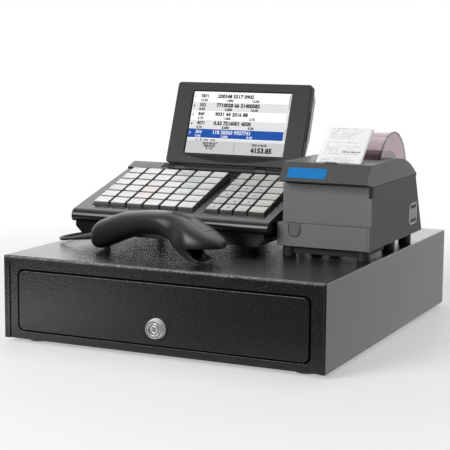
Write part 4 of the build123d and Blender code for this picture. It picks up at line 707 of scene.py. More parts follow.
def tube(path: np.ndarray, radius: np.ndarray | float, around: int = 8) -> tuple[np.ndarray, list]:
    """A round bar along a path: at each point a circle in the plane square to the path.

    The circle's first axis is square to the coordinate axis that the path keeps furthest away from.
    """
    path = np.asarray(path, float)
    along = np.gradient(path, axis=0)
    along /= np.linalg.norm(along, axis=1)[:, None]
    fixed = np.eye(3)[np.abs(along).max(axis=0).argmin()]
    side = np.cross(along, fixed)
    side /= np.linalg.norm(side, axis=1)[:, None]
    other = np.cross(along, side)
    angle = np.linspace(0, math.tau, around, endpoint=False)
    reach = np.broadcast_to(np.asarray(radius, float), (len(path),))[:, None, None]
    rings = path[:, None] + reach * (np.cos(angle)[None, :, None] * side[:, None]
                                     + np.sin(angle)[None, :, None] * other[:, None])
    return closed_stack(rings)


def ring(axis: tuple, radius: float | np.ndarray, y: float, turn: np.ndarray) -> np.ndarray:
    """Points round an axis that runs to the back: the axis plus the radius times cosine and sine."""
    return np.column_stack([axis[0] + radius * np.cos(turn), np.full(len(turn), y),
                            axis[1] + radius * np.sin(turn)])


def turned(profile: np.ndarray, axis: tuple, front: float) -> tuple[np.ndarray, list]:
    """A closed ring about an axis that runs to the back.

    Args:
        profile: closed outline as radius and depth, clockwise; shape (points, 2), or (points, angles, 2)
            where the radius changes round the ring.
        axis: x and z of the axis in millimetres.
        front: y of depth 0.

    Returns:
        Points and faces: x and z are the axis plus the radius times cosine and sine, y is the front plus the
        depth.
    """
    profile = np.asarray(profile, float)
    if profile.ndim == 2:
        profile = np.repeat(profile[:, None], ROUND, axis=1)
    rows, columns = profile.shape[:2]
    turn = np.linspace(0, math.tau, columns, endpoint=False)
    points = np.stack([axis[0] + profile[..., 0] * np.cos(turn), front + profile[..., 1],
                       axis[1] + profile[..., 0] * np.sin(turn)], -1).reshape(-1, 3)
    faces = np.asarray(grid_faces(rows + 1, columns, wrap=True)) % (rows * columns)
    return points, faces.tolist()


def point(x: float | np.ndarray, behind: float | np.ndarray, height: float | np.ndarray) -> tuple:
    """A point in the frame's millimetres: right of the middle, behind the case front, above the drawer."""
    return x, behind + CASE_FRONT, height + DRAWER_TOP


# ---------------------------------------------------------------- studio
@dataclass
class Studio:
    """Floor, lamps, surroundings and camera."""
    eye: tuple = (0.70387, -1.55113, 0.37151)
    yaw: float = -0.436
    pitch: float = -0.143
    roll: float = 0.008
    lens: float = 108.23
    sensor: float = 36.0
    clip: tuple = (0.05, 100.0)
    floor_size: float = 60.0
    soft_light: float = 0.18
    front_mirror: float = 0.05
    back_mirror: float = 1.9
    above_mirror: float = 0.9
    skew: float = 0.25
    room_reach: tuple = (-0.25, 0.6)
    above_reach: tuple = (0.3, 0.9)
    # Painted reflections on the floor, seen only in mirrors: a dim one before the set and a bright patch.
    dim_painted_reflection: float = 0.06
    bright_painted_reflection: float = 4.6
    bright_painted_reflection_place: tuple = (-0.30, -0.33, 0.0)
    bright_painted_reflection_reach: tuple = (0.04, 0.34)
    dim_painted_reflection_reach: tuple = (-0.42, -0.2)
    white_reach: tuple = (0.42, 0.95)
    shadow: float = 0.58
    aim: tuple = (0.0, 0.0, 0.1)
    lamps: tuple = (("key", (-1.0, -2.1, 1.15), 1.2, 58.0), ("top", (0.0, 0.3, 2.0), 1.6, 13.0),
                    ("fill", (1.9, -0.7, 0.9), 1.2, 0.6))

    def camera(self) -> None:
        """Place the camera by its turn to the side, its tilt and its roll."""
        yaw, pitch, roll = ((math.sin(angle), math.cos(angle)) for angle in (self.yaw, self.pitch, self.roll))
        forward = Vector((yaw[0] * pitch[1], yaw[1] * pitch[1], pitch[0]))
        right = Vector((yaw[1], -yaw[0], 0.0))
        up = right.cross(forward)
        level, upright = right * roll[1] + up * roll[0], up * roll[1] - right * roll[0]
        data = bpy.data.cameras.new("camera")
        data.lens, data.sensor_width = self.lens, self.sensor
        data.clip_start, data.clip_end = self.clip
        camera = linked("camera", data)
        axes = Matrix((level, upright, -forward)).transposed().to_4x4()
        camera.matrix_world = Matrix.Translation(self.eye) @ axes
        bpy.context.scene.camera = camera

    def floor(self) -> None:
        """Lay the pale floor.

        Its own whiteness for seen rays lifts it to white outside the shadow; mirrors see a painted dim
        reflection before the set, with one painted bright reflection patch at the front left.
        """
        half = self.floor_size / 2
        corners = [(-half, -half, 0), (half, -half, 0), (half, half, 0), (-half, half, 0)]
        graph = Graph("pale_floor")
        paint = graph.principled(Base_Color=graph.mix(graph.noise(3.0), (0.8, 0.8, 0.8), (0.82, 0.82, 0.82)),
                                 Roughness=0.6, Specular_IOR_Level=0.2)
        camera, place = graph.ray("Camera"), graph.place()
        far = graph.node("ShaderNodeVectorMath", {"operation": "LENGTH"}, {0: place}, "Value")
        away = graph.node("ShaderNodeVectorMath", {"operation": "DISTANCE"}, {0: place, 1: self.bright_painted_reflection_place},
                          "Value")
        bright_painted_reflection = 1 - away.ramp(*self.bright_painted_reflection_reach)
        _, deep, _ = graph.split(place)
        before = 1 - deep.ramp(*self.dim_painted_reflection_reach)
        # What mirrors see of the floor: white behind, a painted dim reflection before the set, a painted
        # bright patch.
        mirrored = (1 - before) + before * (self.dim_painted_reflection + bright_painted_reflection * bright_painted_reflection * self.bright_painted_reflection)
        glow = graph.light("ShaderNodeEmission", camera + (1 - camera) * mirrored)
        dim = self.shadow - far.ramp(*self.white_reach) * self.shadow
        mixed = graph.node("ShaderNodeMixShader", None,
                           {0: graph.seen_rays() * (1 - camera * dim), 1: paint, 2: glow})
        mesh = bpy.data.meshes.new("floor")
        mesh.from_pydata(corners, [], [[0, 1, 2, 3]])
        mesh.materials.append(graph.finish(mixed))
        linked("floor", mesh)

    def surroundings(self) -> None:
        """Light the room softly; mirrors meet a bright room behind and above and a dim one in front."""
        graph = Graph("studio", world=True)
        straight = graph.ray("Camera").larger(graph.ray("Transmission"))
        mirror = graph.ray("Glossy") * (1 - straight)
        side, back, above = graph.split(graph.node("ShaderNodeTexCoord", output="Generated"))
        lean = (back - side * self.skew).ramp(*self.room_reach)
        room = self.front_mirror + (self.back_mirror - self.front_mirror) * lean
        strength = straight + mirror * (room + above.ramp(*self.above_reach) * self.above_mirror)
        strength = strength + (1 - straight - mirror) * self.soft_light
        graph.finish(graph.light("ShaderNodeBackground", strength))
        bpy.context.scene.world = graph.material

    def lamp(self, name: str, place: tuple, size: float, power: float) -> None:
        """Hang one square soft lamp that faces the set."""
        data = bpy.data.lights.new(name, "AREA")
        data.shape = "SQUARE"
        data.size = size
        data.energy = power
        aim = (Vector(self.aim) - Vector(place)).to_track_quat("-Z", "Y")
        linked(name, data).matrix_world = Matrix.Translation(place) @ aim.to_matrix().to_4x4()

    def build(self) -> None:
        """Set up everything that isn't the object."""
        self.camera()
        self.floor()
        self.surroundings()
        for lamp in self.lamps:
            self.lamp(*lamp)
        bpy.context.scene.view_settings.view_transform = "Standard"


# ---------------------------------------------------------------- scanner lead
@dataclass
class ScannerLead:
    """The scanner's lead: out of the relief, across the drawer top behind the terminal, and into a coil."""
    radius: float = 2.1
    length: float = 1.62
    centre: tuple = (-62.0, 398.0)
    turn_radii: tuple = (25.1, 20.9, 20.9, 25.1, 25.1, 20.9, 20.9, 25.1)
    turn_heights: tuple = (2.4, 2.4, 6.6, 6.6, 10.8, 10.8, 15.0, 15.0)
    per_turn: int = 16
    ease_from: float = 0.66
    exit: tuple = (-0.171843, -0.120147, 0.113713)
    straight: tuple = (-0.186393, -0.117555, 0.111151)
    run: tuple = ((-194.0, 110.0, 5.4), (-198.1, 117.0, 5.1), (-199.9, 129.0, 4.8), (-200.6, 151.0, 4.1),
                  (-199.3, 187.0, 2.9), (-194.3, 234.6, 2.4), (-186.5, 279.0, 2.4), (-174.6, 323.6, 2.4),
                  (-158.1, 364.4, 2.4), (-133.5, 396.5, 2.4), (-107.0, 415.9, 2.4), (-82.0, 423.1, 2.4))
    plug_run: tuple = ((-36.9, 385.0, 15.0), (-36.9, 373.4, 16.3), (-36.9, 361.4, 16.3))

    def coil(self) -> np.ndarray:
        """Control points of the turns, in millimetres.

        Each turn is a circle whose radius and height ease to the next turn's in its last third.
        """
        turns = len(self.turn_radii)
        share = np.arange(turns * self.per_turn + self.per_turn // 4 + 1) / self.per_turn
        whole = np.minimum(share.astype(int), turns - 1)
        following = np.minimum(whole + 1, turns - 1)
        ease = eased((share - whole - self.ease_from) / (1 - self.ease_from))
        radii, heights = np.asarray(self.turn_radii), np.asarray(self.turn_heights)
        reach = radii[whole] * (1 - ease) + radii[following] * ease
        height = heights[whole] * (1 - ease) + heights[following] * ease
        angle = math.pi / 2 - math.tau * share
        x, behind = self.centre[0] + reach * np.cos(angle), self.centre[1] + reach * np.sin(angle)
        return np.column_stack(point(x, behind, height))

    def build(self) -> None:
        laid = np.vstack([[point(*spot) for spot in self.run], self.coil(),
                          [point(*spot) for spot in self.plug_run]])
        points = np.vstack([[self.exit, self.straight], laid * MM])
        curve = bpy.data.curves.new("scanner_lead", "CURVE")
        curve.dimensions = "3D"
        curve.bevel_depth = self.radius * MM
        curve.bevel_resolution = 4
        curve.use_fill_caps = True
        spline = curve.splines.new("NURBS")
        spline.points.add(len(points) - 1)
        spline.points.foreach_set("co", np.column_stack([points, np.ones(len(points))]).ravel())
        spline.order_u = 3
        spline.use_endpoint_u = True
        spline.resolution_u = 8
        curve.materials.append(material(Finish.LEAD))
        lead = linked("scanner_lead", curve)
        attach(lead, body_of("scanner_cord"))
        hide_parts("scanner_cord", "scanner_cord_coil")
        plug = refined("scanner_plug", Finish.LEAD)


# ---------------------------------------------------------------- cash drawer
@dataclass
class CashDrawer:
    """The steel case, its drawer, insert, lock and latch.

    The lock's face is radius and depth; its rim is the run of that outline's points that is coloured near
    white as a painted highlight.
    """
    case_edge: float = 0.0007
    panel_edge: float = 0.0016
    plug_edge: float = 0.0002
    fold_radius: float = 2.0
    fold_inset: float = 1.5
    fold_foot: float = 1.0
    lock_face: tuple = ((6.05, 22.5), (9.0, 22.5), (9.0, 7.5), (12.0, 7.5), (11.4, 3.6), (10.6, 0.5),
                        (10.0, 0.0), (9.4, 0.0), (9.1, 0.8), (8.6, 0.8), (8.3, 0.1), (7.5, 0.1), (6.9, 0.6),
                        (6.9, 1.8), (6.05, 1.8))
    lock_grooves: tuple = ((8.85, 0.75, 0.22, "SHADOW_GAP"), (6.5, 1.75, 0.2, "SHADOW_GAP"))
    lock_rim: tuple = (2, 5)
    nut_half: float = 12.0
    nut_depth: tuple = (9.7, 13.7)
    plug_rings: tuple = ((5.2, 0.1, 0.35, "SHADOW_GAP"), (3.4, 0.1, 0.4, "CHROME"),
                         (2.3, 0.1, 0.3, "SHADOW_GAP"))
    bare: tuple = ("case_screws", "slide_outer", "slide_middle", "slide_inner", "latch_lever",
                   "latch_solenoid")

    def folds(self) -> None:
        """Round the case's front with a bead along its top and sides; the top one is a painted highlight."""
        low, high = (np.asarray(corner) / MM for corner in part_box("case_cover"))
        front, top = low[1] + self.fold_inset, high[2] - self.fold_inset
        left, right = low[0] + self.fold_radius, high[0] - self.fold_radius
        base = low[2] + self.fold_foot
        bead = Sculpt("case_folds")
        outer = np.array([(left, front, base), (left, front, top), (right, front, top), (right, front, base)])
        # The top bead gets the paler coat, a painted highlight; the side beads get the plain coat.
        for start, end in zip(outer[:-1], outer[1:]):
            bead.add(*tube(np.linspace(start, end, 4), self.fold_radius, 16),
                     Finish.FOLD_PAINTED_HIGHLIGHT if start[2] == end[2] else Finish.CASE)
        bead.make(body_of("case_cover"), "powder_coat", smooth=40.0)

    @staticmethod
    def inlay(piece: Sculpt, axis: tuple, front: float, rings: tuple) -> None:
        """Add rings of radius, depth, thickness and finish about the lock's axis."""
        turn = np.linspace(0, math.tau, ROUND + 1)
        for radius, depth, thickness, finish in rings:
            piece.add(*tube(ring(axis, radius, front + depth, turn), thickness), Finish[finish])

    def lock(self) -> None:
        """Turn the lock's stepped face and barrel with its nut, and lay the rings on the plug's face.

        The nut's radius at an angle is its half width over the cosine of the angle from the nearest flat's
        middle.
        """
        low, high = (np.asarray(corner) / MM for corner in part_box("lock_body"))
        axis, front = ((low[0] + high[0]) / 2, (low[2] + high[2]) / 2), low[1]
        case = Sculpt("lock_case")
        case.add(*turned(self.lock_face, axis, front), Finish.CHROME)
        # The rim's near white colour is a painted highlight.
        case.recoat(slice(self.lock_rim[0] * ROUND, self.lock_rim[1] * ROUND), Finish.NICKEL_PAINTED_HIGHLIGHT)
        turn = np.linspace(0, 360, ROUND, endpoint=False)
        reach = self.nut_half / np.cos(np.radians(turn % 60 - 30))
        inner = np.full(ROUND, self.lock_face[1][0])
        near, far = (np.full(ROUND, depth) for depth in self.nut_depth)
        corners = ((inner, far), (reach, far), (reach, near), (inner, near))
        case.add(*turned(np.stack([np.stack(pair, -1) for pair in corners]), axis, front), Finish.ZINC)
        self.inlay(case, axis, front, self.lock_grooves)
        case.make(body_of("lock_body"), "lock_chrome", ("lock_body",), smooth=30.0)
        trim = Sculpt("plug_rings")
        self.inlay(trim, axis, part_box("lock_plug")[0][1] / MM, self.plug_rings)
        trim.make(body_of("lock_plug"), "lock_chrome", smooth=60.0)

    def build(self) -> None:
        """Dress the case and the drawer."""
        refine_all(("case_cover", Finish.CASE, self.case_edge, "powder_coat"),
                   ("case_front_frame", Finish.CASE, self.case_edge, "powder_coat"),
                   ("drawer_front", Finish.CASE, self.panel_edge, "powder_coat", 3))
        self.folds()
        refine_all(("case_base", Finish.CASE, 0.0, "powder_coat"),
                   ("drawer_tray", Finish.INNER, 0.0, "powder_coat"),
                   ("case_feet", Finish.RUBBER, 0.0, "foot_rubber"),
                   *((node, Finish.ZINC) for node in self.bare),
                   ("lock_plug", Finish.CHROME, self.plug_edge))
        self.lock()
        refine_all(("till_insert", Finish.INSERT),
                   *((f"note_clip_{number}", Finish.INSERT) for number in range(1, 6)))


# ---------------------------------------------------------------- keyboard terminal
@dataclass
class KeyRow:
    """One row of keycaps of one block, with the stems that reach the switches.

    The painted shades darken a cap's tint towards its base, painted shade on its sides, one for each of
    its outlines.
    """
    block: str
    number: int
    lefts: tuple
    widths: tuple
    origin: tuple = (0.0, -74.1, 155.0)
    up: tuple = (0.0, 0.95319, 0.30237)
    pitch: float = 19.05
    gap: float = 1.0
    height: float = 9.0
    taper: float = 1.25
    dish: float = 0.5
    # Painted shade down a cap's sides, one factor for each outline.
    painted_shades: tuple = (0.05, 0.05, 0.14, 0.5, 0.95, 1.0, 1.0, 1.0, 1.0, 1.0)
    dish_shares: tuple = (0.88, 0.66, 0.4, 0.14)
    stem_depth: float = 13.5
    stem_radius: float = 2.2
    stem_overlap: float = 0.5
    around: int = 5
    white: tuple = (0.57, 0.57, 0.56)
    dull: tuple = (0.53, 0.535, 0.53)
    rose: tuple = (0.54, 0.50, 0.49)
    green: tuple = (0.505, 0.53, 0.515)
    beige: tuple = (0.37, 0.357, 0.33)
    digit: tuple = (0.35, 0.35, 0.345)
    figures: tuple = (("0", "00", "."), ("1", "2", "3"), ("4", "5", "6"), ("7", "8", "9"))
    figure_size: float = 6.0
    figure_lift: float = 0.06

    def rings(self, width: float) -> np.ndarray:
        """One cap about its own centre: outlines that draw in up the sides, round over and dip to a dish.

        The outline at each level is the base rectangle less an inset; over the dish it shrinks in proportion
        and its depth is the dish times one less the square of the proportion.
        """
        half_x, half_y = (width - self.gap) / 2, (self.pitch - self.gap) / 2
        sides = ((-self.height, 0.0, 0.4), (-self.height + 0.4, 0.0, 0.4), (-1.0, self.taper * 0.88, 0.9),
                 (-0.4, self.taper, 1.0), (-0.1, self.taper + 0.25, 1.1), (0.0, self.taper + 0.7, 1.2))
        rings = []
        for level, inset, radius in sides:
            flat = rounded_outline(half_x - inset, half_y - inset, radius, self.around)
            rings.append(np.column_stack([flat, np.full(len(flat), level)]))
        for share in self.dish_shares:
            flat = rings[len(sides) - 1][:, :2] * share
            rings.append(np.column_stack([flat, np.full(len(flat), -self.dish * (1 - share * share))]))
        return np.stack(rings)

    def tint(self, column: int) -> tuple:
        """The cap's plastic: warm white, with beige, rose and green ones among them."""
        if self.block == "right":
            return self.beige if column == 3 or self.number >= 5 else self.digit
        if column == 2 and self.number in (2, 3, 4):
            return self.rose
        if column == 4 and self.number in (3, 4, 5):
            return self.green
        return self.white if (column + self.number) % 3 else self.dull

    def figure(self, column: int) -> str:
        """The figure printed on a cap of the number pad."""
        on_pad = self.block == "right" and self.number <= len(self.figures) and column < 3
        return self.figures[self.number - 1][column] if on_pad else ""

    def build(self) -> None:
        """Make the row as one piece."""
        row = Sculpt(f"{self.block}_keys_{self.number}")
        base = Plane(self.origin, self.up)
        for column, (left, width) in enumerate(zip(self.lefts, self.widths)):
            spot = np.array([[left + width / 2, (self.number - 0.5) * self.pitch]])
            cap = Plane(base.points(spot, 0.0)[0], self.up)
            points, faces = closed_stack(self.rings(width))
            # Painted shade: the tint darkened towards the cap's base.
            shade = np.repeat(self.painted_shades, len(points) // len(self.painted_shades))[:, None]
            row.add(cap.points(points, points[:, 2:]), faces, Finish.KEYS, shade * self.tint(column))
            stem = np.array([[-self.stem_depth], [-self.height + self.stem_overlap]])
            row.add(*tube(cap.points(np.zeros((2, 2)), stem), self.stem_radius, 12), Finish.SWITCH)
            figure = self.figure(column)
            if figure:
                row.add(*cap.lettered(figure, self.figure_size, (0.0, -self.figure_size / 3),
                                      self.figure_lift - self.dish, "CENTER"), Finish.LEGEND)
        node = f"{self.block}_key_row_{self.number}"
        row.make(body_of(node), "key_plastic", (node,), smooth=40.0)


@dataclass
class Display:
    """The tilting display: bezel, panel, lit picture and rear cover.

    Measures of the picture are in millimetres from the screen's low left corner. A plate is its low left
    corner, its size, its height and its finish; a line of figures is its text, place and size.
    """
    origin: tuple = (-140.0, 67.4, 194.5)
    up: tuple = (0.0, 0.35184, 0.93606)
    screen: tuple = (144.7, 88.5)
    corner: tuple = (24.7, 14.3)
    picture_depth: float = -1.95
    figure_lift: float = 0.3
    stroke: float = 0.05
    ground: tuple = ((0.1, 0.1, 144.5, 88.3, 0.04, "SCREEN_INK"),
                     (1.1, 1.1, 142.5, 86.3, 0.08, "SCREEN_WHITE"))
    row_top: float = 85.3
    row_height: float = 12.6
    row_left: float = 1.2
    row_width: float = 138.9
    row_gap: float = 0.3
    row_lift: float = 0.12
    chosen: int = 4
    rows: tuple = (("1", "7871", "200348 5517 0902", "12.50", "1.000", "12.50"),
                   ("2", "552", "7710028 66 31400582", "8.20", "2.000", "16.40"),
                   ("3", "840", "9031 44 2016 88", "5.75", "1.000", "5.75"),
                   ("4", "4571", "0.33 7216001 4500", "3.10", "3.000", "9.30"),
                   ("5", "304", "118 20563 9937741", "9.90", "1.000", "9.90"))
    cells: tuple = ((3.0, 5.6, 4.2), (12.0, 6.4, 6.0), (37.0, 6.2, 7.0), (12.0, 1.0, 4.8), (50.0, 1.0, 4.8),
                    (88.0, 1.0, 4.8))
    status: tuple = (1.2, 18.6, 142.3, 3.2, 0.12, "SCREEN_PALE")
    status_line: tuple = ("12    04    2016    18.45", 14.0, 18.9, 3.0)
    foot: tuple = ((1.2, 1.2, 142.3, 17.4, 0.12, "SCREEN_GREY"), (72.0, 3.4, 0.4, 14.6, 0.2, "SCREEN_INK"))
    totals: tuple = (("2210 00 417", 36.0, 13.6, 4.2), ("30014 52", 36.0, 10.2, 4.2),
                     ("5 / 12", 36.0, 6.8, 4.2), ("7041 0 3318", 108.0, 13.6, 4.2),
                     ("4153.85", 112.0, 4.6, 9.4))
    slider: tuple = ((140.5, 22.5, 3.4, 63.5, 0.1, "SCREEN_GREY"),
                     (140.8, 40.0, 2.8, 26.0, 0.2, "SCREEN_PALE"))
    sag: float = 9.0
    crescent_gap: float = 1.6
    crescent_thick: tuple = (-0.3, 0.12)
    bezel_edge: float = 0.0005
    rear_edge: float = 0.0008
    edge_lift: float = 0.05
    edge_radius: float = 0.4

    def picture(self) -> None:
        """Draw the till's list, its chosen row, its status line and its total as thin plates and figures."""
        image = Sculpt("screen_picture")
        plane = Plane(self.origin, self.up)
        left, low = self.corner

        def plate(u: float, v: float, width: float, height: float, lift: float, finish: str) -> None:
            """Lay one plate."""
            thick = (self.picture_depth, self.picture_depth + lift)
            image.add(*plane.slab((width, height), (left + u, low + v), thick), Finish[finish])

        def figures(text: str, u: float, v: float, size: float, finish: str = "SCREEN_INK",
                    align: str = "LEFT") -> None:
            """Print figures."""
            image.add(*plane.lettered(text, size, (left + u, low + v), self.picture_depth + self.figure_lift,
                                      align, self.stroke), Finish[finish])

        for spot in self.ground:
            plate(*spot)
        for number, row in enumerate(self.rows):
            v = self.row_top - (number + 1) * self.row_height
            gap, shade, ink = 0.0, "SCREEN_PALE", "SCREEN_INK"
            if number == self.chosen:
                gap, shade, ink = self.row_gap, "SCREEN_BLUE", "SCREEN_LIGHT_INK"
            if number == self.chosen or number % 2:
                plate(self.row_left, v + gap, self.row_width, self.row_height - gap, self.row_lift, shade)
            for text, (u, rise, size) in zip(row, self.cells):
                figures(text, u, v + rise, size, ink)
        plate(*self.status)
        figures(*self.status_line)
        for spot in self.foot:
            plate(*spot)
        for line in self.totals:
            figures(*line, align="CENTER")
        for spot in self.slider:
            plate(*spot)
        image.make(body_of("display_panel"), "screen", smooth=None)

    def crescent(self) -> None:
        """Lay the dark crescent under the screen, its dark colour painted shade.

        Its lower edge drops by the sag times 1 - x squared.
        """
        share = np.linspace(-1, 1, 41)
        half = self.screen[0] / 2
        u = self.corner[0] + half + half * share
        top = self.corner[1] - self.crescent_gap
        lower = top - self.sag * (1 - share * share)
        outline = np.column_stack([np.concatenate([u, u[-2:0:-1]]),
                                   np.concatenate([lower, np.full(len(u) - 2, top)])])
        plane = Plane(self.origin, self.up)
        inlay = Sculpt("bezel_crescent")
        # The crescent's dark colour is painted shade.
        inlay.add(*plane.stack(outline, self.crescent_thick), Finish.BEZEL_PAINTED_SHADE)
        edge = plane.points(np.column_stack([u, lower]), self.edge_lift)
        inlay.add(*tube(edge, self.edge_radius), Finish.BEZEL)
        inlay.make(body_of("display_bezel"), "terminal_plastic")

    def build(self) -> None:
        """Dress the display and draw its picture."""
        self.crescent()
        refine_all(("display_bezel", Finish.BEZEL, self.bezel_edge, "terminal_plastic"),
                   ("display_rear_cover", Finish.REAR, self.rear_edge, "rear_plastic"))
        dress(Finish.GLASS, "display_panel")
        self.picture()


@dataclass
class Terminal:
    """The keyboard terminal."""
    wide_key: float = 23.8125
    narrow_key: float = 19.05
    left_start: float = -171.0
    right_start: float = -13.0
    case_edge: float = 0.0005
    hinge_edge: float = 0.0003

    def build(self) -> None:
        """Dress the terminal and make its keys."""
        refine_all(("terminal_upper_case", Finish.TERMINAL, self.case_edge, "terminal_plastic"),
                   ("terminal_lower_case", Finish.TERMINAL, self.case_edge, "terminal_plastic"),
                   ("terminal_feet", Finish.SWITCH),
                   ("hinge_brackets", Finish.SWITCH, self.hinge_edge))
        dress(Finish.SWITCH, "key_plate")
        dress(Finish.BOARD, "main_board")
        left = tuple(self.left_start + column * self.wide_key for column in range(6))
        right = tuple(self.right_start + column * self.narrow_key for column in range(4))
        for number in range(1, 7):
            KeyRow("left", number, left, (self.wide_key,) * 6).build()
            KeyRow("right", number, right, (self.narrow_key,) * 3 + (self.wide_key,)).build()
        Display().build()


# ---------------------------------------------------------------- receipt printer
@dataclass
class Printer:
    """The receipt printer, its roll under the smoked dome and the printed receipt.

    A slab is its size, its low corner, its lowest and highest offset and its corner radius.
    """
    receipt_half: float = 28.5
    receipt_middle: float = 153.0
    receipt_line: tuple = ((174.2, 95.0), (174.2, 101.0), (168.5, 111.0), (171.5, 114.5), (213.0, 150.6))
    receipt_free: int = 3
    receipt_grid: tuple = (60, 17)
    receipt_thickness: float = 0.3
    cup: float = 0.5
    cup_lean: tuple = (0.6, 0.8)
    cover_slope: tuple = ((136.0, 92.0), (153.0, 113.0))
    label: tuple = ((48.0, 14.4), (99.5, 4.6), (0.0, 0.25), 0.6)
    # A dark plate under the printer: painted shade between the feet.
    painted_shade_plate: tuple = ((97.0, 80.0), (93.0, 158.0), (3.0, 12.4), 4.0)
    switch_side: float = 200.0
    switch_thick: tuple = (-0.6, 0.5)
    switch_bars: tuple = (((31.0, 2.0), (302.5, 24.5)), ((31.0, 2.0), (302.5, 49.5)),
                          ((3.4, 27.0), (302.5, 24.5)), ((2.0, 27.0), (331.5, 24.5)))
    tab_place: tuple = (0.0, 153.2, 112.9)
    tab: tuple = ((15.0, 4.6), (141.0, 0.0), (0.0, 1.3), 0.8)
    button: tuple = (106.0, 31.0, 7.5)
    groove_face: float = 149.95
    groove_rise: float = 6.4
    groove_radius: float = 0.45
    rim_centre: tuple = (275.0, 89.0)
    rim_radius: float = 54.0
    rim_span: tuple = (12, 168)
    rim_sides: tuple = (121.0, 185.0)
    rim_thickness: float = 0.95
    shell_edge: float = 0.0006
    control_edge: float = 0.0003
    tab_edge: float = 0.0002

    def receipt(self) -> None:
        """Feed the receipt out: its run is carried across, with a slight cupping where it is free.

        Across the strip the paper lifts by the cup times the square of the distance from its middle, and the
        UV map counts 0 to 1 across and along.
        """
        line = np.asarray(self.receipt_line, float)
        lengths = np.concatenate([[0], np.cumsum(np.linalg.norm(np.diff(line, axis=0), axis=1))])
        rows, columns = self.receipt_grid
        along = np.linspace(0, lengths[-1], rows)[:, None]
        across = np.linspace(-1, 1, columns)[None]
        held = lengths[self.receipt_free]
        cup = -self.cup * np.clip((along - held) / (lengths[-1] - held), 0, 1) * across ** 2
        behind, height = (np.interp(along, lengths, line[:, column]) for column in (0, 1))
        x, y, z = point(self.receipt_middle + self.receipt_half * across, behind, height)
        grid = np.broadcast_arrays(x, y - cup * self.cup_lean[0], z + cup * self.cup_lean[1])
        strip = Sculpt("receipt_paper")
        strip.add(np.stack(grid, -1), grid_faces(rows, columns), Finish.RECEIPT)
        piece = strip.make(body_of("receipt_strip"), "paper", ("receipt_strip",))
        layer = piece.data.uv_layers.new(name="sheet")
        corner = np.zeros(len(piece.data.loops), np.int32)
        piece.data.loops.foreach_get("vertex_index", corner)
        uv = np.stack(np.broadcast_arrays((across + 1) / 2, along / lengths[-1]), -1).reshape(-1, 2)
        layer.data.foreach_set("uv", uv[corner].astype(np.float32).ravel())
        wall = piece.modifiers.new("paper_thickness", "SOLIDIFY")
        wall.thickness = self.receipt_thickness * MM
        wall.offset = 0.0

    def fittings(self) -> None:
        """Add the blue label, a painted shade plate under the printer, the switch's frame and the tear tab.
        """
        start, end = np.asarray(self.cover_slope)
        front = Plane(point(0.0, *start), (0.0, *((end - start) / np.linalg.norm(end - start))))
        under, side = Plane(point(0.0, 0.0, 0.0), BACK), Plane(point(self.switch_side, 0.0, 0.0), UP, BACK)
        bars = [side.slab(*bar, self.switch_thick) for bar in self.switch_bars]
        tab = Plane(point(*self.tab_place), BACK).slab(*self.tab)
        slot = "printer_plastic"
        plain("printer_label", [front.slab(*self.label)], Finish.LABEL, "printer_cover", slot)
        plain("printer_painted_shade_plate", [under.slab(*self.painted_shade_plate)], Finish.SHADOW_GAP, "printer_base", slot)
        plain("switch_frame", bars, Finish.SWITCH_FRAME, "printer_body", slot)
        plain("tear_tab", [tab], Finish.RUBBER, "printer_cover", slot, edge=self.tab_edge)

    def rounds(self) -> None:
        """Add the feed button's groove and the dome's dark rims, a painted darkening of its edges.

        The groove is a half circle with straight sides above it; a rim is an arc a little inside the dome.
        """
        x, height, radius = self.button
        ends = [[(x + side, self.groove_face, height + self.groove_rise)] for side in (-radius, radius)]
        arc = ring((x, height), radius, self.groove_face, np.linspace(math.pi, math.tau, 25))
        groove = tube(np.vstack([ends[0], arc, ends[1]]) + point(0.0, 0.0, 0.0), self.groove_radius)
        plain("button_groove", [groove], Finish.SHADOW_GAP, "printer_base", "printer_plastic")
        turn = np.radians(np.linspace(*self.rim_span, 60))
        behind, height = self.rim_centre
        back, rise = behind + self.rim_radius * np.cos(turn), height + self.rim_radius * np.sin(turn)
        rims = [tube(np.column_stack(point(np.full(len(turn), side), back, rise)), self.rim_thickness, 10)
                for side in self.rim_sides]
        plain("dome_edges_painted_dark", rims, Finish.DOME_EDGE_PAINTED_DARK, "roll_dome", "dome_smoke")

    def build(self) -> None:
        """Dress the printer."""
        refine_all(("printer_cover", Finish.COVER, self.shell_edge, "printer_plastic"),
                   ("printer_body", Finish.PRINTER, self.shell_edge, "printer_plastic"),
                   ("printer_base", Finish.PRINTER, self.shell_edge, "printer_plastic"),
                   ("printer_feet", Finish.RUBBER),
                   ("roll_dome", Finish.SMOKED, 0.0, "dome_smoke"),
                   ("paper_roll", Finish.ROLL_PAINTED_SHADE, 0.0, "paper"),
                   ("platen_roller", Finish.RUBBER),
                   ("print_head", Finish.ZINC),
                   ("feed_button", Finish.CONTROL, self.control_edge),
                   ("power_switch", Finish.ROCKER, self.control_edge))
        self.receipt()
        self.fittings()
        self.rounds()


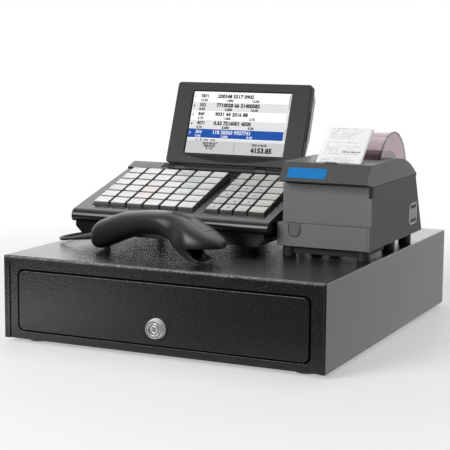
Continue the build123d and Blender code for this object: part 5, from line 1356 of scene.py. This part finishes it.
# ---------------------------------------------------------------- hand scanner
@dataclass
class Scanner:
    """The hand scanner: a lofted body with its parting lines, the mouth under its nose, and the trigger.

    Measures are in millimetres along the scanner from its handle and up from the drawer's top. A station is a
    place along with the top, the bottom and the half width there.
    """
    origin: tuple = (-130.0, -127.6, 105.0)
    forward: tuple = (0.98450, -0.17537, 0.0)
    near: tuple = (-0.17537, -0.98450, 0.0)
    stations: tuple = (
        (-3.4, 15.0, 13.0, 1.2), (-3.2, 20.0, 8.0, 8.0), (-2.4, 26.0, 3.8, 12.2), (-1.0, 30.0, 2.0, 14.0),
        (1.0, 32.8, 1.0, 15.0), (3.5, 34.4, 0.8, 15.4), (7.0, 36.4, 1.2, 15.7), (13.0, 38.9, 3.0, 15.8),
        (27.0, 44.0, 8.2, 16.0), (41.0, 48.3, 14.0, 16.0), (57.0, 51.1, 19.8, 16.0), (69.0, 52.8, 23.5, 16.2),
        (80.0, 54.0, 25.4, 16.6), (90.0, 54.6, 26.0, 17.2), (100.0, 55.1, 25.6, 17.4),
        (109.0, 55.2, 24.6, 17.8), (118.0, 54.7, 22.6, 18.6), (124.0, 54.0, 20.6, 19.8),
        (130.0, 53.0, 18.6, 21.8), (136.0, 51.6, 17.2, 24.2), (143.5, 49.2, 16.4, 26.4),
        (150.0, 46.2, 16.4, 27.3), (155.0, 43.8, 16.4, 26.9), (161.0, 40.9, 16.5, 25.6),
        (167.0, 37.8, 16.6, 23.7), (173.0, 34.5, 16.8, 21.0), (178.0, 31.4, 17.0, 17.8),
        (182.0, 28.3, 17.2, 14.0), (184.8, 25.6, 17.5, 10.0), (186.8, 22.9, 17.9, 6.0),
        (187.8, 20.9, 18.5, 2.6), (188.0, 20.0, 19.3, 0.8))
    seam: tuple = ((-3.4, 14.0), (0.0, 16.2), (3.0, 18.5), (18.0, 26.0), (32.0, 33.0), (53.0, 40.5),
                   (74.0, 44.5), (88.0, 44.4), (101.0, 41.4), (112.0, 36.0), (121.0, 30.5), (130.0, 24.6),
                   (142.0, 18.4), (150.0, 17.6), (178.0, 17.6), (188.0, 19.6))
    window: float = 2.5
    ends: float = 6.0
    hood: tuple = (98.0, 132.0)
    rim_height: float = 1.6
    steps: int = 190
    power: float = 0.86
    trigger_span: tuple = (111.0, 168.0)
    trigger_half: float = 8.0
    trigger_share: float = 0.62
    trigger_gap: float = 0.5
    trigger_proud: float = 0.35
    trigger_sunk: tuple = (0.2, 1.2)
    trigger_shares: tuple = (0.04, 0.96)
    ridges: tuple = (6.0, 32.0, 14)
    ridge_share: tuple = (0.1, 0.42)
    ridge_sunk: float = 0.1
    ridge_radius: float = 0.42
    pocket: float = 3.0
    relief_start: tuple = (-131.2, -127.4, 120.9)
    relief_end: tuple = (-171.8, -120.15, 113.72)
    ribs: int = 13
    relief_thick: tuple = (5.0, 2.6)
    rib_share: float = 0.16
    side: int = 14
    top: int = 12
    under: int = 22
    mouth_half: float = 13.4
    wall_half: float = 15.0
    mouth_back: tuple = ((118.0, 25.6), (124.0, 17.4), (133.4, 9.4), (144.0, 2.9), (150.5, 0.7), (160.0, 0.7),
                         (162.5, 1.6))
    mouth_wall: tuple = ((159.0, 2.6), (153.0, 4.6), (148.0, 8.4), (144.6, 12.6), (142.6, 17.2),
                         (141.0, 20.0), (128.0, 27.0))
    mouth_sole: tuple = ((160.0, 2.5), (152.0, 2.5), (145.3, 4.8), (134.8, 11.2), (126.0, 18.6),
                         (122.0, 27.0))
    mouth_rim: tuple = ((141.8, 18.0), (143.6, 14.4), (146.2, 10.4), (149.6, 7.0), (154.0, 4.2), (159.0, 2.6),
                        (161.8, 1.8))
    rim_half: float = 14.4
    rim_radius: float = 0.95
    sill: tuple = (161.4, 1.7)
    rest: tuple = ((13.0, 0.3), (16.5, 0.3), (18.0, 8.0), (12.0, 6.0))
    rest_half: float = 1.8
    glass: tuple = ((153.6, 2.4), (154.8, 3.0), (143.8, 17.6), (142.4, 17.0))
    seam_span: tuple = (-2.6, 128.0)
    seam_radius: float = 0.28
    shoulder: tuple = (126.5, 9.0, 0.62)
    crease: tuple = ((135.5, 152.0, 184.0), (0.62, 0.8, 0.72))
    crease_radius: float = 0.22

    def placed(self, along: np.ndarray, across: np.ndarray, height: np.ndarray) -> np.ndarray:
        """Points in the shared frame, in millimetres, from the scanner's own directions."""
        along, across, height = np.broadcast_arrays(along, across, height)
        return (np.asarray(self.origin) + along[..., None] * np.asarray(self.forward)
                + across[..., None] * np.asarray(self.near) + height[..., None] * np.asarray(UP))

    def section(self, along: np.ndarray) -> tuple:
        """Top, bottom, half width, widest level and seam height at each place along.

        Straight runs between stations are eased by averaging over a short window, which closes towards the
        ends, and the widest level moves from the middle of the handle down to the rim of the hood.
        """
        table = np.asarray(self.stations)
        reach = np.linspace(-self.window, self.window, 11)
        edge = np.minimum(along - table[0, 0], table[-1, 0] - along)[:, None]
        spread = along[:, None] + reach * np.clip(edge / self.ends, 0, 1)
        top, bottom, half = (np.interp(spread, table[:, 0], table[:, column]).mean(1) for column in (1, 2, 3))
        seam = np.interp(spread, *np.asarray(self.seam).T).mean(1)
        hood = eased((along - self.hood[0]) / (self.hood[1] - self.hood[0]))
        level = (top + bottom) / 2 * (1 - hood) + (bottom + self.rim_height) * hood
        return top, bottom, half, np.minimum(level, top - 0.3), np.clip(seam, bottom + 0.1, top - 0.1)

    def skin(self, along: np.ndarray, turn: np.ndarray) -> tuple[np.ndarray, np.ndarray]:
        """Across and height on the body's skin.

        Each section is a squared ellipse: across is the half width times the cosine raised to the power, and
        the height above or below the widest level is the height or depth there times the sine raised to the
        power.
        """
        top, bottom, half, level, _ = self.section(along)
        cosine, sine = np.cos(turn), np.sin(turn)
        across = half[:, None] * np.sign(cosine) * np.abs(cosine) ** self.power
        rise = np.where(sine > 0, (top - level)[:, None], (level - bottom)[:, None])
        return across, level[:, None] + rise * np.sign(sine) * np.abs(sine) ** self.power

    def turns(self, along: np.ndarray) -> tuple[np.ndarray, np.ndarray]:
        """The turn about each section at which the seam runs, and at which the trigger's side runs."""
        top, bottom, half, level, seam = self.section(along)
        room = np.where(seam > level, top - level, level - bottom)
        rise = np.clip(np.abs(seam - level) / room, 0, 1) ** (1 / self.power)
        low = np.arcsin(np.sign(seam - level) * rise)
        share = np.clip(self.trigger_half / half, 0, self.trigger_share)
        return low, np.arccos(share ** (1 / self.power))

    def on_top(self, along: np.ndarray, share: np.ndarray) -> tuple[np.ndarray, np.ndarray]:
        """Across and height on the skin, at shares of the way between the trigger's two sides."""
        _, inner = self.turns(along)
        return self.skin(along, inner[:, None] + (math.pi - 2 * inner)[:, None] * share)

    def run(self, along: np.ndarray, turn: np.ndarray) -> np.ndarray:
        """Points of one line on the body's skin."""
        across, height = self.skin(along, turn[:, None])
        return self.placed(along[:, None], across, height)[:, 0]

    def body(self) -> None:
        """Loft the body, leave out the trigger's pocket, sink its floor, and add mouth and rest."""
        table = np.asarray(self.stations)
        start, end = self.trigger_span
        along = np.unique(np.concatenate([np.linspace(table[0, 0], table[-1, 0], self.steps), [start, end]]))
        low, inner = (turn[:, None] for turn in self.turns(along))
        blend, middle, beneath = (np.arange(steps) / steps for steps in (self.side, self.top, self.under))
        turn = np.hstack([low + (inner - low) * blend, inner + (math.pi - 2 * inner) * middle,
                          (math.pi - inner) + (inner - low) * blend,
                          (math.pi - low) + (math.pi + 2 * low) * beneath])
        across, height = self.skin(along, turn)
        points = self.placed(along[:, None], across, height)
        rows, columns = turn.shape
        faces = np.asarray(grid_faces(rows, columns, wrap=True))
        row, column = faces[:, 0] // columns, faces[:, 0] % columns
        in_pocket = ((along[row] >= start) & (along[row] < end) & (column >= self.side)
                     & (column < self.side + self.top))
        upper = column < 2 * self.side + self.top
        ends = [list(range(columns)), list(range((rows - 1) * columns, rows * columns))[::-1]]
        shell = Sculpt("scanner_body")
        shell.add(points, faces[~in_pocket & upper][:, ::-1].tolist() + ends, Finish.SCANNER_TOP)
        shell.add(points, faces[~in_pocket & ~upper][:, ::-1].tolist(), Finish.SCANNER)
        inside = np.flatnonzero((along >= start) & (along <= end))
        rim = points[inside][:, self.side:self.side + self.top + 1]
        floor = rim - self.pocket * np.asarray(UP)
        shell.add(floor, [face[::-1] for face in grid_faces(*floor.shape[:2])], Finish.SHADOW_GAP)
        shell.skirt(rim, floor, Finish.SHADOW_GAP)
        self.mouth(shell)
        shell.make(body_of("scanner_upper_shell"), "scanner_plastic",
                   ("scanner_upper_shell", "scanner_lower_shell"), smooth=50.0)

    def prism(self, outline: tuple, low: float, high: float) -> tuple[np.ndarray, list]:
        """A plate across the scanner: its side outline carried from one place across to another."""
        along, height = np.asarray(outline, float).T
        sides = [self.placed(along, np.asarray(place), height) for place in (high, low)]
        return closed_stack(np.stack(sides))

    def mouth(self, shell: Sculpt) -> None:
        """Add the mouth: two narrow side walls, a sloping back and sole, their rim, and the handle's rest."""
        inner, outer = self.mouth_half, self.wall_half
        for outline, low, high in ((self.mouth_back + self.mouth_wall, inner, outer),
                                   (self.mouth_back + self.mouth_wall, -outer, -inner),
                                   (self.mouth_back + self.mouth_sole, -inner, inner),
                                   (self.rest, -self.rest_half, self.rest_half)):
            shell.add(*self.prism(outline, low, high), Finish.SCANNER)
        along, height = np.asarray(self.mouth_rim).T
        near, far = (self.placed(along, np.asarray(side), height) for side in (self.rim_half, -self.rim_half))
        sill = self.placed(np.asarray(self.sill[0]), np.linspace(inner, -inner, 9), np.asarray(self.sill[1]))
        shell.add(*tube(np.vstack([near, sill, far[::-1]]), self.rim_radius, 10), Finish.SCANNER_TOP)

    def lines(self) -> None:
        """Lay the dark parting lines along both seams and the shoulder, and the hood's two creases."""
        seams = Sculpt("scanner_parting_lines")
        along = np.linspace(*self.seam_span, 120)
        low, _ = self.turns(along)
        for turn in (low, math.pi - low):
            seams.add(*tube(self.run(along, turn), self.seam_radius), Finish.SHADOW_GAP)
        start, length, rise = self.shoulder
        share = np.linspace(0, 1, 24)
        creased = np.linspace(self.crease[0][0], self.crease[0][-1], 50)
        for mirror in (False, True):
            for along, climb, thickness, finish in (
                    (start + length * share, share * rise, self.seam_radius, Finish.SHADOW_GAP),
                    (creased, np.interp(creased, *self.crease), self.crease_radius, Finish.SCANNER)):
                low, inner = self.turns(along)
                turn = low + (inner - low) * climb
                seams.add(*tube(self.run(along, math.pi - turn if mirror else turn), thickness), finish)
        seams.make(body_of("scanner_upper_shell"), "scanner_plastic")

    def trigger(self) -> None:
        """Lay the trigger in its pocket: the body's own skin a little proud, with a row of grip ridges.

        The skin's rise over the body falls off to the sides with the fourth power of the distance from the
        middle.
        """
        start, end = self.trigger_span
        along = np.linspace(start + self.trigger_gap, end - self.trigger_gap, 40)
        share = np.linspace(*self.trigger_shares, 15)
        across, height = self.on_top(along, share)
        dome = 1 - (2 * share - 1) ** 4
        crown, base = (self.placed(along[:, None], across, level) for level in (
            height + self.trigger_proud * dome - self.trigger_sunk[0], height - self.trigger_sunk[1]))
        faces = grid_faces(*crown.shape[:2])
        key = Sculpt("scanner_trigger_skin")
        key.add(crown, [face[::-1] for face in faces], Finish.SCANNER_TOP)
        key.add(base, faces, Finish.SCANNER_TOP)
        key.skirt(crown, base, Finish.SCANNER_TOP)
        first, last, count = self.ridges
        for place in np.linspace(start + first, start + last, count):
            across, height = self.on_top(np.array([place]), np.linspace(*self.ridge_share, 8))
            ridge = self.placed(np.asarray(place), across, height + self.trigger_proud - self.ridge_sunk)[0]
            key.add(*tube(ridge, self.ridge_radius), Finish.SCANNER)
        key.make(body_of("scanner_trigger"), "scanner_plastic", ("scanner_trigger",), smooth=50.0)

    def relief(self) -> None:
        """Sleeve the lead where it leaves the handle: a taper whose ribs follow the square of a sine."""
        path = np.linspace(self.relief_start, self.relief_end, 150)
        share = np.linspace(0, 1, len(path))
        thick, thin = self.relief_thick
        rib = 1 - self.rib_share + self.rib_share * np.sin(share * math.pi * self.ribs) ** 2
        sleeve = tube(path, (thick - (thick - thin) * share) * rib, 20)
        plain("ribbed_relief", [sleeve], Finish.LEAD, "strain_relief", "scanner_plastic",
              replaces=("strain_relief",), smooth=60.0)

    def build(self) -> None:
        """Make the scanner."""
        self.relief()
        self.body()
        self.lines()
        self.trigger()
        plain("scan_window", [self.prism(self.glass, -self.mouth_half, self.mouth_half)], Finish.WINDOW,
              "scanner_window", "window_glass", replaces=("scanner_window",))


def main() -> None:
    """Build the studio, then the set."""
    logging.basicConfig(level=logging.INFO, format="%(name)s: %(message)s")
    for part in (Studio(), ScannerLead(), CashDrawer(), Terminal(), Printer(), Scanner()):
        part.build()
        log.info("%s built", type(part).__name__)


if __name__ == "__main__":
    main()
